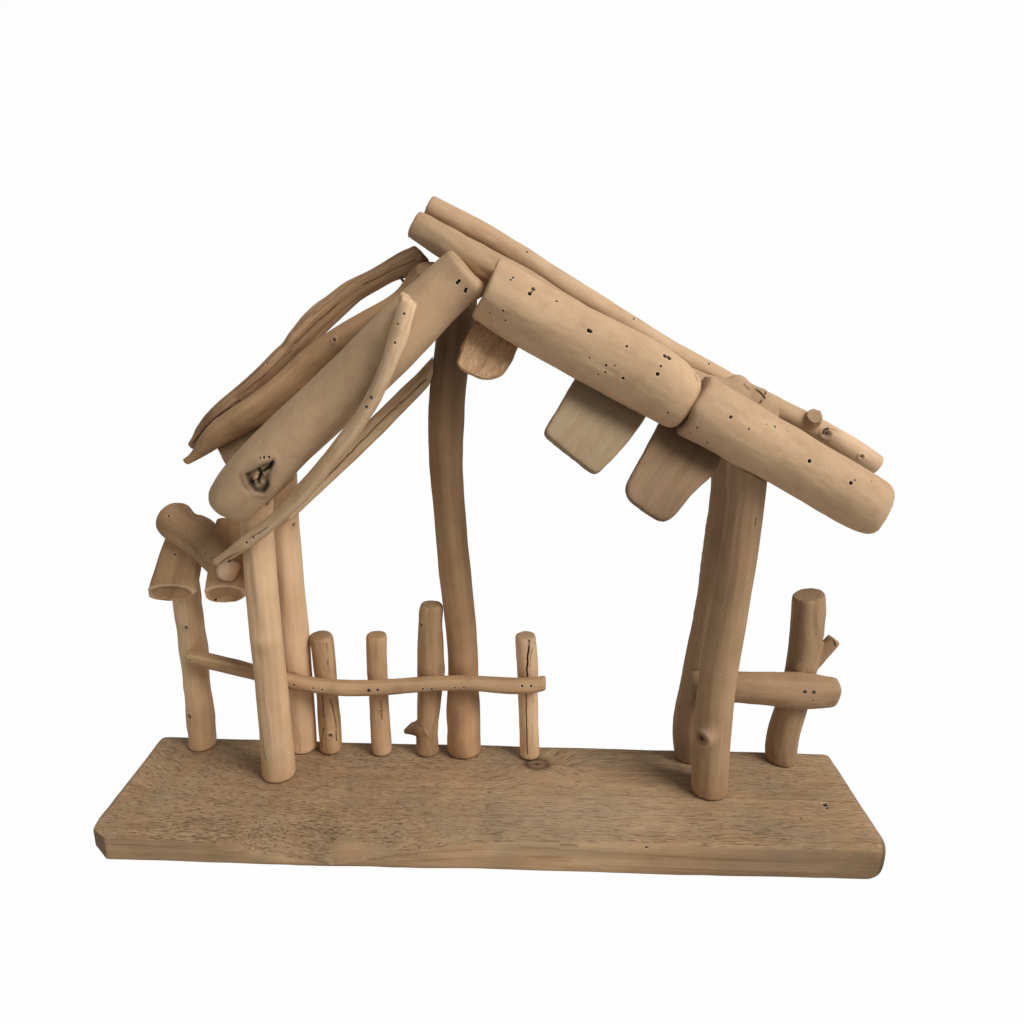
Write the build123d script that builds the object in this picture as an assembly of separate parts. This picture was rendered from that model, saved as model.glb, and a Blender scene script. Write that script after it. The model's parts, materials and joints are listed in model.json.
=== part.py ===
from build123d import *
import math
import os
from collections import namedtuple

# A nativity stable of driftwood sticks on one plank. All lengths are in millimetres.
# +X runs along the plank to the right, +Y to the back and +Z up.
# The origin is the middle of the plank's underside, and the front of the stable faces -Y.

# Plank
plank_length = 404
plank_depth = 86
plank_thickness = 20
plank_corner = 4
plank_edge_ease = 1.2
plank_foot_ease = 2
back_bevel = 3.5
wane_x = -97
wane_width = 84
wane_run = 16
wane_left = 1.5

# Row of posts and pickets along the back: their fronts lie on one line, and the rails are nailed there
fence_line_y = 23.5
seat_bite = 0.8

# Posts: place of the foot, diameter, and how far the top leans to the right
front_left_post_x = -121.4
front_left_post_y = 5.2
front_left_post_diameter = 18
front_left_post_lean = -1
rear_left_post_x = -115
rear_left_post_diameter = 16
rear_left_post_lean = 2
far_left_post_x = -175
far_left_post_diameter = 16.5
far_left_post_lean = 0.5
ridge_post_x = -18.3
ridge_post_diameter = 18.6
ridge_post_lean = -3
front_right_post_x = 120.6
front_right_post_y = 1.4
front_right_post_diameter = 21
front_right_post_lean = 0.5
rear_right_post_x = 117
rear_right_post_diameter = 18.5
rear_right_post_lean = -4
far_right_post_x = 172
far_right_post_diameter = 18.5
far_right_post_lean = 1
far_right_post_height = 107
far_right_post_slant = 5
post_top_rise = 1.5

# Stub of a side branch on the far right post
post_stub_height = 52
post_stub_reach = 25
post_stub_root = 11
post_stub_tip = 8

# Fence pickets
picket_1_x = -97.8
picket_1_diameter = 13.6
picket_1_height = 76
picket_1_lean = -2.4
picket_2_x = -67.4
picket_2_diameter = 12.4
picket_2_height = 77
picket_2_lean = -1
picket_3_x = -40
picket_3_diameter = 14
picket_3_height = 97
picket_3_lean = 2
picket_4_x = 20.7
picket_4_diameter = 12.6
picket_4_height = 79
picket_4_lean = -4.5
picket_spur_height = 17.5
picket_spur_reach = 8
picket_spur_root = 15
picket_spur_tip = 2.5

# Fence rails
left_rail_start_x = -172.5
left_rail_start_z = 85
left_rail_end_x = 28
left_rail_end_z = 74.5
left_rail_diameter = 9.4
right_rail_start_x = 109
right_rail_end_x = 192.5
right_rail_z = 73
right_rail_height = 20
right_rail_depth = 9.5

# Roof: the ridge point is where the seats of the two front logs meet
ridge_x = -17.7
roof_seat_y = 0.5
ridge_z = 279.5
right_slope = 27
right_lean = 45
left_slope = 42.9
left_lean = 38

# Logs of the right roof, by distance down the slope from the ridge point and across it
upper_log_start = 7
upper_log_length = 106
upper_log_diameter = 30
log_gap = 0.8
lower_log_length = 107.5
lower_log_diameter = 29
middle_log_start = -38
middle_log_length = 198
middle_log_across = 21
middle_log_diameter = 13.6
back_log_start = -37
back_log_length = 260
back_log_across = 36.8
back_log_diameter = 12.6
back_stub_place = 180
back_stub_reach = 5
back_stub_root = 9.5
back_stub_tip = 8.5

# Slats under the right roof: middle, width and how far they reach below and above the front log's seat
slat_thickness = 5
slat_top = 44
ridge_slat_place = 19
ridge_slat_width = 25
ridge_slat_drop = 28
ridge_slat_corner = 8
middle_slat_place = 79
middle_slat_width = 35
middle_slat_drop = 42.5
middle_slat_corner = 3
lower_slat_place = 122.3
lower_slat_width = 30.5
lower_slat_drop = 50.5
lower_slat_corner = 6

# Logs of the left roof
left_log_start = -12
left_log_length = 163.5
left_log_across = 1.5
left_log_diameter = 26.5
left_branch_start = -4
left_branch_length = 171.5
left_branch_across = 20
left_branch_diameter = 15
left_back_branch_start = 1
left_back_branch_length = 159.5
left_back_branch_across = 33.5
left_back_branch_diameter = 13.2
knot_hole_place = 122.5
knot_hole_drop = 3.5
knot_hole_width = 15
knot_hole_depth = 7
eave_slat_place = 133
eave_slat_width = 31
eave_slat_bottom = -4
eave_slat_top = 56
eave_slat_corner = 3

# Wing roof on the left: the eave line and its pitch, two short slats and a flat log across them
wing_eave_y = 9.5
wing_eave_z = 125.5
wing_pitch = 55
wing_slat_thickness = 6
wing_slat_length = 45
wing_outer_slat_x = -175.3
wing_outer_slat_width = 28.3
wing_slat_overhang = 4
wing_slat_face_set_back = 4.8
wing_slat_round = 4.5
wing_inner_slat_width = 31.6
wing_lap = 4.5
wing_log_left_x = -181
wing_log_left_rise = 44
wing_log_right_x = -139
wing_log_right_rise = 16.5
wing_log_width = 22
wing_log_thickness = 11

# Braces
front_brace_top_x = -39.5
front_brace_top_z = 284
front_brace_tip_x = -143
front_brace_tip_z = 150
front_brace_diameter = 8
rear_brace_tip_x = -113
rear_brace_tip_z = 169
rear_brace_top_z = 257
rear_brace_diameter = 10

# Ease of sawn ends
post_end_ease = 1
log_end_ease = 2.5

# Wire brads, sunk below the wood, and screws driven up through the plank
brad_diameter = 1.3
brad_head_diameter = 1.9
brad_head_thickness = 0.8
brad_sink = 0.6
brad_bite = 8
slat_brad_left = 1
brad_spacing = 5
screw_diameter = 3
screw_head_diameter = 6.4
screw_head_height = 2.6
screw_tip_length = 4
screw_sink = 0.8
screw_bite = 22

# Shapes of the sticks and logs. Each row holds a share of the length, the bend and the girth, both as
# shares of the diameter. A post bends to the right, a rail upwards, a brace downwards and a roof log
# up the roof. Every roof log lies flat on the slats, so its girth changes on top.
front_left_post_shares = [(0, 0, 1.05), (0.25, 0.02, 1.0), (0.55, -0.03, 0.97), (1, 0, 0.94)]
rear_left_post_shares = [(0, 0, 1.05), (0.25, -0.04, 1.0), (0.5, -0.14, 0.98), (1, 0, 0.94)]
far_left_post_shares = [(0, 0, 1.05), (0.3, 0.03, 0.98), (0.65, -0.03, 0.96), (1, 0, 0.98)]
ridge_post_shares = [
    (0, 0, 1.06), (0.15, -0.02, 0.98), (0.3, -0.17, 0.96), (0.43, -0.36, 0.96), (0.55, -0.5, 0.98),
    (0.66, -0.48, 1.03), (0.75, -0.3, 1.02), (0.85, -0.1, 1.0), (1, 0, 0.96),
]
front_right_post_shares = [(0, 0, 1.0), (0.2, -0.14, 0.98), (0.5, -0.05, 0.93), (1, -0.08, 0.9)]
rear_right_post_shares = [(0, 0, 1.0), (0.2, -0.04, 1.03), (0.4, 0.2, 0.93), (0.6, 0.19, 0.9), (1, 0, 0.9)]
far_right_post_shares = [
    (0, 0, 1.0), (0.16, -0.055, 1.02), (0.3, 0.03, 0.99), (0.5, 0.13, 0.97), (0.72, 0.14, 1.02),
    (1, -0.05, 0.94),
]
picket_1_shares = [(0, 0, 1.0), (0.4, 0.04, 0.97), (1, 0, 1.02)]
picket_2_shares = [(0, 0, 1.0), (0.5, -0.04, 0.96), (1, 0, 1.0)]
picket_3_shares = [(0, 0, 0.98), (0.3, 0, 1.0), (0.55, 0.05, 1.1), (0.8, 0, 1.0), (1, 0, 0.86)]
picket_4_shares = [(0, 0, 1.0), (0.5, 0.03, 0.96), (1, 0, 1.0)]
left_rail_shares = [
    (0, 0, 0.9), (0.09, -0.34, 0.98), (0.27, -1.1, 1.0), (0.41, -1.36, 1.04), (0.6, -0.92, 1.0),
    (0.8, -0.4, 0.98), (1, 0, 0.96),
]
right_rail_shares = [(0, 0, 1.0), (0.3, 0.01, 0.95), (0.65, -0.02, 0.98), (1, -0.05, 0.88)]
front_brace_shares = [
    (0, 0, 1.0), (0.08, 0.75, 1.0), (0.18, 1.4, 0.98), (0.3, 1.82, 0.98), (0.45, 1.88, 1.04),
    (0.58, 1.8, 1.05), (0.71, 1.55, 1.0), (0.81, 1.15, 0.98), (0.91, 0.62, 0.9), (1, 0, 0.6),
]
rear_brace_shares = [(0, 0, 0.95), (0.3, 0.1, 1.0), (0.65, 0.05, 1.02), (1, 0, 0.9)]
wing_log_shares = [
    (0, 0, 0.68), (0.1, 0, 0.88), (0.25, 0.04, 1.02), (0.6, 0, 0.98), (1, 0, 0.94),
]
upper_log_shares = [(0, 0, 1.02), (0.25, 0, 1.03), (0.5, 0.02, 1.07), (0.85, 0.04, 1.04), (1, 0, 0.92)]
lower_log_shares = [(0, 0, 1.02), (0.3, 0.05, 1.0), (0.6, 0.05, 0.97), (0.85, 0.03, 0.98), (1, 0.03, 0.92)]
middle_log_shares = [
    (0, 0, 1.04), (0.12, -0.06, 1.14), (0.27, -0.13, 1.24), (0.5, -0.12, 1.1), (0.75, 0, 1.0),
    (0.86, 0.1, 1.18), (0.95, 0.16, 1.2), (1, 0.14, 0.98),
]
back_log_shares = [
    (0, 0, 0.96), (0.15, 0.06, 1.0), (0.25, -0.04, 0.98), (0.38, -0.18, 0.96), (0.5, -0.26, 0.95),
    (0.64, -0.32, 0.96), (0.77, -0.2, 1.0), (0.87, -0.08, 1.04), (1, -0.1, 0.95),
]
left_log_shares = [
    (0, 0, 0.98), (0.2, 0.03, 1.0), (0.45, 0, 1.03), (0.65, 0.03, 1.0), (0.83, -0.01, 1.01),
    (0.93, -0.05, 0.96), (1, -0.08, 0.84),
]
left_branch_shares = [
    (0, -0.2, 0.9), (0.12, -0.06, 0.92), (0.2, 0.12, 0.95), (0.29, 0.42, 1.0), (0.37, 0.64, 1.02),
    (0.48, 0.78, 1.0), (0.72, 1.08, 1.02), (0.9, 1.62, 0.62), (1, 1.88, 0.36),
]
left_back_branch_shares = [
    (0, 0.1, 0.85), (0.06, 0.4, 0.86), (0.12, 0.66, 0.87), (0.23, 0.96, 0.88), (0.35, 1.06, 0.92),
    (0.47, 1.1, 0.97), (0.62, 1.08, 0.96), (0.8, 1.3, 0.9), (0.92, 1.46, 0.64), (1, 1.5, 0.42),
]

# Slats narrow towards their lower ends and lean along the roof there, as shares of their widths
ridge_slat_taper_share = 0.82
middle_slat_taper_share = 0.84
lower_slat_taper_share = 0.78
wing_slat_taper_share = 0.71
ridge_slat_lean_share = 0.04
middle_slat_lean_share = -0.2
lower_slat_lean_share = -0.32

# Headings of the side branches, and where along its length the front brace crosses the log and the post
post_stub_heading_shares = (0.58, 0, 0.81)
picket_spur_heading_shares = (-0.95, 0, -0.3)
back_stub_heading_shares = (-0.15, -0.75, 0.65)
wing_log_saw_shares = (0.55, -0.78, -0.3)
brace_at_log_share = 0.28
brace_at_post_share = 0.85
brace_at_rear_post_share = 0.95

# Values that follow from those above
deck_z = plank_thickness
reach = 2 * plank_length
east = Vector(1, 0, 0)
north = Vector(0, 1, 0)
sky = Vector(0, 0, 1)
from_below = (Align.CENTER, Align.CENTER, Align.MIN)
from_above = (Align.CENTER, Align.CENTER, Align.MAX)

Stick = namedtuple("Stick", "start end facing side diameter rows")
Roof = namedtuple("Roof", "origin down across out rise")
Log = namedtuple("Log", "roof start length across diameter rows")
wood = {}
brads = {"roof_brads": [], "fence_brads": [], "brace_brads": [], "wing_brads": []}


def beyond(point, direction):
    """Everything past a plane, as a block to cut with."""
    return Plane(origin=point, z_dir=direction) * Box(reach, reach, reach, align=from_below)


def table_value(rows, along, column):
    """One column of a shape table at a share of the length."""
    for low, high in zip(rows, rows[1:]):
        if along <= high[0]:
            step = (along - low[0]) / (high[0] - low[0])
            return low[column] + (high[column] - low[column]) * step
    return rows[-1][column]


def ease_ends(solid, facing, amount):
    """Round the two sawn ends of a stick."""
    ends = solid.faces().filter_by(GeomType.PLANE).sort_by(Axis((0, 0, 0), facing))
    return fillet(ends[0].edges() + ends[-1].edges(), amount)


def stick_spot(stick, along):
    """Middle and radius of a stick at a share of its length."""
    bend = stick.side * (table_value(stick.rows, along, 1) * stick.diameter)
    radius = table_value(stick.rows, along, 2) * stick.diameter / 2
    return stick.start + (stick.end - stick.start) * along + bend, radius


def stick_solid(stick, ease, flatness=1):
    """A bent stick, with parallel round or flattened sections along its length."""
    sections = []
    for row in stick.rows:
        centre, radius = stick_spot(stick, row[0])
        outline = Circle(radius) if flatness == 1 else Ellipse(radius, radius * flatness)
        sections.append(Plane(origin=centre, x_dir=stick.side, z_dir=stick.facing) * outline)
    return ease_ends(loft(sections), stick.facing, ease)


def stub(root, heading, radius, reach_out, root_diameter, tip_diameter):
    """A cut side branch that starts at the middle of its stick."""
    branch = Cone(root_diameter / 2, tip_diameter / 2, radius + reach_out, align=from_below)
    return Plane(origin=root, z_dir=heading) * branch


# Roof frames: down the slope, across it towards the back, out of it, and square up from the slope
def roof_frame(slope, lean, heading):
    fall = math.radians(slope)
    tilt = math.radians(lean)
    down = heading * math.cos(fall) - sky * math.sin(fall)
    rise = heading * math.sin(fall) + sky * math.cos(fall)
    across = rise * math.cos(tilt) + north * math.sin(tilt)
    out = rise * math.sin(tilt) - north * math.cos(tilt)
    return Roof(Vector(ridge_x, roof_seat_y, ridge_z), down, across, out, rise)


def wing_frame():
    tilt = math.radians(wing_pitch)
    across = north * math.cos(tilt) + sky * math.sin(tilt)
    out = sky * math.cos(tilt) - north * math.sin(tilt)
    return Roof(Vector(0, wing_eave_y, wing_eave_z), east, across, out, sky)


right_roof = roof_frame(right_slope, right_lean, east)
left_roof = roof_frame(left_slope, left_lean, -east)
wing_roof = wing_frame()


def roof_point(roof, down, across, out=0):
    return roof.origin + roof.down * down + roof.across * across + roof.out * out


def roof_height(roof, x, rise):
    """Height of a plane that follows the slope, at a place along the plank."""
    return roof.origin.Z + (rise - (x - roof.origin.X) * roof.rise.X) / roof.rise.Z


def log_spot(log, down):
    """Middle and radius of a roof log at a distance down the slope."""
    along = (down - log.start) / log.length
    radius = table_value(log.rows, along, 2) * log.diameter / 2
    across = log.across + table_value(log.rows, along, 1) * log.diameter
    return roof_point(log.roof, down, across, radius - seat_bite), radius


def log_solid(log, ease):
    """A roof log: its underside lies on the slats all along, and its girth changes on top."""
    sections = []
    for row in log.rows:
        centre, radius = log_spot(log, log.start + log.length * row[0])
        sections.append(Plane(origin=centre, x_dir=log.roof.across, z_dir=log.roof.down) * Circle(radius))
    return ease_ends(loft(sections), log.roof.down, ease)


def log_at_x(log, x):
    """Distance down the slope at which a roof log passes over a place along the plank."""
    down = log.start
    for step in range(3):
        middle, radius = log_spot(log, down)
        down = down + (x - middle.X) / log.roof.down.X
    return down


def log_rise(log, down):
    """How far a log's middle stands above the slope of the front seat."""
    middle, radius = log_spot(log, down)
    return (middle - log.roof.origin).dot(log.roof.rise)


upper_log = Log(right_roof, upper_log_start, upper_log_length, 0, upper_log_diameter, upper_log_shares)
lower_log_start = upper_log_start + upper_log_length + log_gap
lower_log = Log(right_roof, lower_log_start, lower_log_length, 0, lower_log_diameter, lower_log_shares)
middle_log = Log(
    right_roof, middle_log_start, middle_log_length, middle_log_across, middle_log_diameter, middle_log_shares
)
back_log = Log(
    right_roof, back_log_start, back_log_length, back_log_across, back_log_diameter, back_log_shares
)
left_log = Log(
    left_roof, left_log_start, left_log_length, left_log_across, left_log_diameter, left_log_shares
)
left_branch = Log(
    left_roof, left_branch_start, left_branch_length, left_branch_across, left_branch_diameter,
    left_branch_shares,
)
left_back_branch = Log(
    left_roof, left_back_branch_start, left_back_branch_length, left_back_branch_across,
    left_back_branch_diameter, left_back_branch_shares,
)


# Slats
def board(roof, outline, thickness, corner):
    """A slat on the underside of a roof, with its two lowest corners rounded."""
    corners = [roof_point(roof, down, across) for down, across in outline]
    slat = extrude(make_face(Polyline(*corners, close=True)), amount=thickness, dir=-roof.out)
    sides = slat.edges().filter_by(Axis((0, 0, 0), roof.out))
    return fillet(sides.sort_by(Axis((0, 0, 0), roof.across))[:2], corner)


def tapered_outline(place, width, drop, taper, lean):
    """Outline of a slat that narrows below the front log and leans along the roof there."""
    half = width / 2
    foot = place + lean * width
    return [
        (place - half, slat_top), (place + half, slat_top), (place + half, 0),
        (foot + half * taper, -drop), (foot - half * taper, -drop), (place - half, 0),
    ]


def plain_outline(place, width, bottom, top, top_share=1):
    half = width / 2
    inset = half - half * (2 * top_share - 1)
    return [(place - half + inset, top), (place + half, top), (place + half, bottom), (place - half, bottom)]


def make_slats():
    ridge_outline = tapered_outline(
        ridge_slat_place, ridge_slat_width, ridge_slat_drop, ridge_slat_taper_share, ridge_slat_lean_share
    )
    middle_outline = tapered_outline(
        middle_slat_place, middle_slat_width, middle_slat_drop, middle_slat_taper_share,
        middle_slat_lean_share,
    )
    lower_outline = tapered_outline(
        lower_slat_place, lower_slat_width, lower_slat_drop, lower_slat_taper_share, lower_slat_lean_share
    )
    eave_outline = plain_outline(eave_slat_place, eave_slat_width, eave_slat_bottom, eave_slat_top)
    wood["ridge_slat"] = board(right_roof, ridge_outline, slat_thickness, ridge_slat_corner)
    wood["middle_slat"] = board(right_roof, middle_outline, slat_thickness, middle_slat_corner)
    wood["lower_slat"] = board(right_roof, lower_outline, slat_thickness, lower_slat_corner)
    wood["left_eave_slat"] = board(left_roof, eave_outline, slat_thickness, eave_slat_corner)


make_slats()


# Logs and branches of the roof, seated on the slats and fitted to each other
def make_right_logs():
    right_slats = [wood["ridge_slat"], wood["middle_slat"], wood["lower_slat"]]
    wood["right_upper_front_log"] = log_solid(upper_log, log_end_ease) - right_slats
    wood["right_lower_front_log"] = log_solid(lower_log, log_end_ease) - right_slats
    front_logs = [wood["right_upper_front_log"], wood["right_lower_front_log"]]
    wood["right_middle_log"] = log_solid(middle_log, post_end_ease) - right_slats - front_logs
    spot, radius = log_spot(back_log, back_stub_place)
    heading = Vector(*back_stub_heading_shares)
    branch = stub(spot, heading, radius, back_stub_reach, back_stub_root, back_stub_tip)
    whole = log_solid(back_log, post_end_ease) + branch
    wood["right_back_log"] = whole - right_slats - wood["right_middle_log"]


def make_left_logs():
    log_end = beyond(roof_point(right_roof, upper_log_start - log_gap, 0), right_roof.down)
    spot, radius = log_spot(left_log, knot_hole_place)
    hole_radius = (knot_hole_width ** 2 / 4 + knot_hole_depth ** 2) / (2 * knot_hole_depth)
    hole_middle = spot - left_roof.rise * knot_hole_drop - north * (radius + hole_radius - knot_hole_depth)
    hollow = Pos(*hole_middle) * Sphere(hole_radius)
    wood["left_front_log"] = log_solid(left_log, log_end_ease) - wood["left_eave_slat"] - log_end - hollow
    wood["right_middle_log"] = wood["right_middle_log"] - wood["left_front_log"]
    right_side = beyond(right_roof.origin, right_roof.out)
    branch = log_solid(left_branch, post_end_ease) - right_side - wood["right_middle_log"]
    wood["left_middle_branch"] = branch - wood["left_eave_slat"] - wood["left_front_log"]
    branch = log_solid(left_back_branch, post_end_ease) - wood["right_middle_log"]
    wood["left_back_branch"] = branch - wood["left_eave_slat"] - wood["left_middle_branch"]


make_right_logs()
make_left_logs()


# Posts: sawn to the slope of the roof and scribed to the logs that they carry
def upright(x, y, lean, top, diameter, rows):
    return Stick(Vector(x, y, deck_z), Vector(x + lean, y, top), sky, east, diameter, rows)


def roof_upright(x, y, lean, roof, rise, diameter, rows):
    """An upright that runs past the roof plane that it will be sawn to."""
    return upright(x, y, lean, roof_height(roof, x + lean, rise) + diameter, diameter, rows)


def roof_post(stick, roof, rise, carried):
    """A post whose top follows the slope, at a rise above the front seat."""
    sawn = stick_solid(stick, post_end_ease) - beyond(roof.origin + roof.rise * rise, roof.rise)
    return sawn - [wood[name] for name in carried]


def back_row_y(diameter):
    return fence_line_y + diameter / 2


rear_left_rise = log_rise(left_back_branch, log_at_x(left_back_branch, rear_left_post_x))
ridge_rise = log_rise(back_log, log_at_x(back_log, ridge_post_x))
rear_right_rise = log_rise(back_log, log_at_x(back_log, rear_right_post_x))
front_left_stick = roof_upright(
    front_left_post_x, front_left_post_y, front_left_post_lean, left_roof, post_top_rise,
    front_left_post_diameter, front_left_post_shares,
)
front_right_stick = roof_upright(
    front_right_post_x, front_right_post_y, front_right_post_lean, right_roof, post_top_rise,
    front_right_post_diameter, front_right_post_shares,
)
rear_left_stick = roof_upright(
    rear_left_post_x, back_row_y(rear_left_post_diameter), rear_left_post_lean, left_roof, rear_left_rise,
    rear_left_post_diameter, rear_left_post_shares,
)
ridge_stick = roof_upright(
    ridge_post_x, back_row_y(ridge_post_diameter), ridge_post_lean, right_roof, ridge_rise,
    ridge_post_diameter, ridge_post_shares,
)
rear_right_stick = roof_upright(
    rear_right_post_x, back_row_y(rear_right_post_diameter), rear_right_post_lean, right_roof,
    rear_right_rise, rear_right_post_diameter, rear_right_post_shares,
)


def make_roof_posts():
    wood["front_left_post"] = roof_post(
        front_left_stick, left_roof, post_top_rise, ["left_front_log", "left_eave_slat"]
    )
    wood["front_right_post"] = roof_post(
        front_right_stick, right_roof, post_top_rise, ["right_lower_front_log", "lower_slat"]
    )
    wood["rear_left_post"] = roof_post(
        rear_left_stick, left_roof, rear_left_rise,
        ["left_back_branch", "left_middle_branch", "left_eave_slat"],
    )
    wood["ridge_post"] = roof_post(
        ridge_stick, right_roof, ridge_rise, ["right_back_log", "right_middle_log", "ridge_slat"]
    )
    wood["rear_right_post"] = roof_post(
        rear_right_stick, right_roof, rear_right_rise, ["right_back_log", "right_middle_log", "lower_slat"]
    )


make_roof_posts()

# Outer posts: the left one carries the wing roof, and the right one ends in a slanted cut
under_wing = roof_point(wing_roof, 0, 0, -wing_slat_thickness)
far_left_y = back_row_y(far_left_post_diameter)
far_left_top = under_wing.Z + (far_left_y - under_wing.Y) * math.tan(math.radians(wing_pitch))
far_left_stick = upright(
    far_left_post_x, far_left_y, far_left_post_lean, far_left_top + 2 * far_left_post_diameter,
    far_left_post_diameter, far_left_post_shares,
)
far_right_y = back_row_y(far_right_post_diameter)
far_right_top = deck_z + far_right_post_height
far_right_stick = upright(
    far_right_post_x, far_right_y, far_right_post_lean, far_right_top + far_right_post_slant,
    far_right_post_diameter, far_right_post_shares,
)


def make_outer_posts():
    wood["far_left_post"] = stick_solid(far_left_stick, post_end_ease) - beyond(under_wing, wing_roof.out)
    slant = sky * far_right_post_diameter - east * far_right_post_slant
    saw_cut = beyond(Vector(far_right_post_x + far_right_post_lean, far_right_y, far_right_top), slant)
    root = Vector(far_right_post_x, far_right_y, deck_z + post_stub_height)
    branch = stub(
        root, Vector(*post_stub_heading_shares), far_right_post_diameter / 2, post_stub_reach,
        post_stub_root, post_stub_tip,
    )
    wood["far_right_post"] = stick_solid(far_right_stick, post_end_ease) - saw_cut + branch


make_outer_posts()

# Wing roof: the inner slat laps behind the front left post, and the flat log crosses both slats
front_left_side_x = front_left_post_x - front_left_post_diameter / 2
wing_inner_slat_x = front_left_side_x + wing_lap - wing_inner_slat_width / 2
wing_log_lift = wing_log_thickness / 2 - seat_bite
wing_log_start = roof_point(wing_roof, wing_log_left_x, wing_log_left_rise, wing_log_lift)
wing_log_end = roof_point(wing_roof, wing_log_right_x, wing_log_right_rise, wing_log_lift)
wing_log_heading = (wing_log_end - wing_log_start).normalized()
wing_log_stick = Stick(
    wing_log_start, wing_log_end, wing_log_heading, wing_roof.out.cross(wing_log_heading), wing_log_width,
    wing_log_shares,
)


def wing_slat(outline):
    """Half of a split log on the wing roof: rounded along its top, with its lower end sawn plumb."""
    corners = [roof_point(wing_roof, down, across) for down, across in outline]
    slat = extrude(make_face(Polyline(*corners, close=True)), amount=wing_slat_thickness, dir=-wing_roof.out)
    top = slat.faces().sort_by(Axis((0, 0, 0), wing_roof.out))[-1]
    slat = fillet(top.edges().sort_by(SortBy.LENGTH)[-2:], wing_slat_round)
    return slat - beyond(Vector(0, wing_eave_y + wing_slat_face_set_back, 0), -north)


def make_wing_roof():
    outer_outline = plain_outline(
        wing_outer_slat_x, wing_outer_slat_width, -wing_slat_overhang, wing_slat_length, wing_slat_taper_share
    )
    inner_outline = plain_outline(
        wing_inner_slat_x, wing_inner_slat_width, -wing_slat_overhang, wing_slat_length
    )
    wood["wing_outer_slat"] = wing_slat(outer_outline)
    inner_slat = wing_slat(inner_outline)
    wood["wing_inner_slat"] = inner_slat - wood["front_left_post"]
    log = stick_solid(wing_log_stick, post_end_ease, wing_log_thickness / wing_log_width)
    log = log - beyond(wing_log_end, Vector(*wing_log_saw_shares))
    wood["wing_roof_log"] = log - [wood["wing_outer_slat"], inner_slat, wood["front_left_post"]]


make_wing_roof()

# Pickets
picket_sticks = {
    "fence_picket_1": upright(
        picket_1_x, back_row_y(picket_1_diameter), picket_1_lean, deck_z + picket_1_height, picket_1_diameter,
        picket_1_shares,
    ),
    "fence_picket_2": upright(
        picket_2_x, back_row_y(picket_2_diameter), picket_2_lean, deck_z + picket_2_height, picket_2_diameter,
        picket_2_shares,
    ),
    "fence_picket_3": upright(
        picket_3_x, back_row_y(picket_3_diameter), picket_3_lean, deck_z + picket_3_height, picket_3_diameter,
        picket_3_shares,
    ),
    "fence_picket_4": upright(
        picket_4_x, back_row_y(picket_4_diameter), picket_4_lean, deck_z + picket_4_height, picket_4_diameter,
        picket_4_shares,
    ),
}


def make_pickets():
    for name, picket in picket_sticks.items():
        wood[name] = stick_solid(picket, post_end_ease)
    root = Vector(picket_3_x, back_row_y(picket_3_diameter), deck_z + picket_spur_height)
    spur = stub(
        root, Vector(*picket_spur_heading_shares), picket_3_diameter / 2, picket_spur_reach,
        picket_spur_root, picket_spur_tip,
    )
    wood["fence_picket_3"] = wood["fence_picket_3"] + spur


make_pickets()

# Rails: a thin bent stick on the left, and half of a split log with its flat side back on the right
left_rail_y = fence_line_y - left_rail_diameter / 2 + seat_bite
left_rail_stick = Stick(
    Vector(left_rail_start_x, left_rail_y, left_rail_start_z),
    Vector(left_rail_end_x, left_rail_y, left_rail_end_z), east, sky, left_rail_diameter, left_rail_shares,
)
right_rail_back = fence_line_y + seat_bite
right_rail_swell = right_rail_depth + seat_bite
right_rail_stick = Stick(
    Vector(right_rail_start_x, right_rail_back, right_rail_z),
    Vector(right_rail_end_x, right_rail_back, right_rail_z), east, sky, right_rail_height, right_rail_shares,
)
left_rail_carriers = {
    "far_left_post": far_left_stick, "rear_left_post": rear_left_stick, "ridge_post": ridge_stick,
    **picket_sticks,
}
right_rail_carriers = {"rear_right_post": rear_right_stick, "far_right_post": far_right_stick}


def make_rails():
    wood["left_fence_rail"] = stick_solid(left_rail_stick, post_end_ease)
    round_rail = stick_solid(right_rail_stick, post_end_ease, right_rail_swell / (right_rail_height / 2))
    wood["right_fence_rail"] = round_rail - beyond(Vector(0, right_rail_back, 0), north)
    for name in left_rail_carriers:
        wood[name] = wood[name] - wood["left_fence_rail"]
    for name in right_rail_carriers:
        wood[name] = wood[name] - wood["right_fence_rail"]


make_rails()


# Braces: the front one lies on the left front log and the front left post, and the rear one runs from
# the side of the ridge post to the front of the rear left post
def brace(start, end, diameter, rows):
    heading = (end - start).normalized()
    return Stick(start, end, heading, heading.cross(north).normalized(), diameter, rows)


def front_brace_ends():
    """Both ends, from the depths at which the brace lies on the log and on the post."""
    log_x = front_brace_top_x + (front_brace_tip_x - front_brace_top_x) * brace_at_log_share
    middle, radius = log_spot(left_log, log_at_x(left_log, log_x))
    stand_off = front_brace_diameter / 2 - seat_bite
    log_y = middle.Y - radius - stand_off
    post_y = front_left_post_y - front_left_post_diameter / 2 - stand_off
    slope = (post_y - log_y) / (brace_at_post_share - brace_at_log_share)
    top_y = log_y - slope * brace_at_log_share
    top = Vector(front_brace_top_x, top_y, front_brace_top_z)
    return top, Vector(front_brace_tip_x, top_y + slope, front_brace_tip_z)


front_brace_stick = brace(*front_brace_ends(), front_brace_diameter, front_brace_shares)
ridge_along = (rear_brace_top_z - deck_z) / (ridge_stick.end.Z - deck_z)
rear_brace_stick = brace(
    stick_spot(ridge_stick, ridge_along)[0],
    Vector(rear_brace_tip_x, fence_line_y - rear_brace_diameter / 2 + seat_bite, rear_brace_tip_z),
    rear_brace_diameter, rear_brace_shares,
)


def make_braces():
    front = stick_solid(front_brace_stick, post_end_ease)
    wood["front_brace"] = front - [wood["left_front_log"], wood["front_left_post"], wood["wing_roof_log"]]
    rear = stick_solid(rear_brace_stick, post_end_ease)
    wood["rear_brace"] = rear - [wood["ridge_post"], wood["rear_left_post"]]


make_braces()


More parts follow.
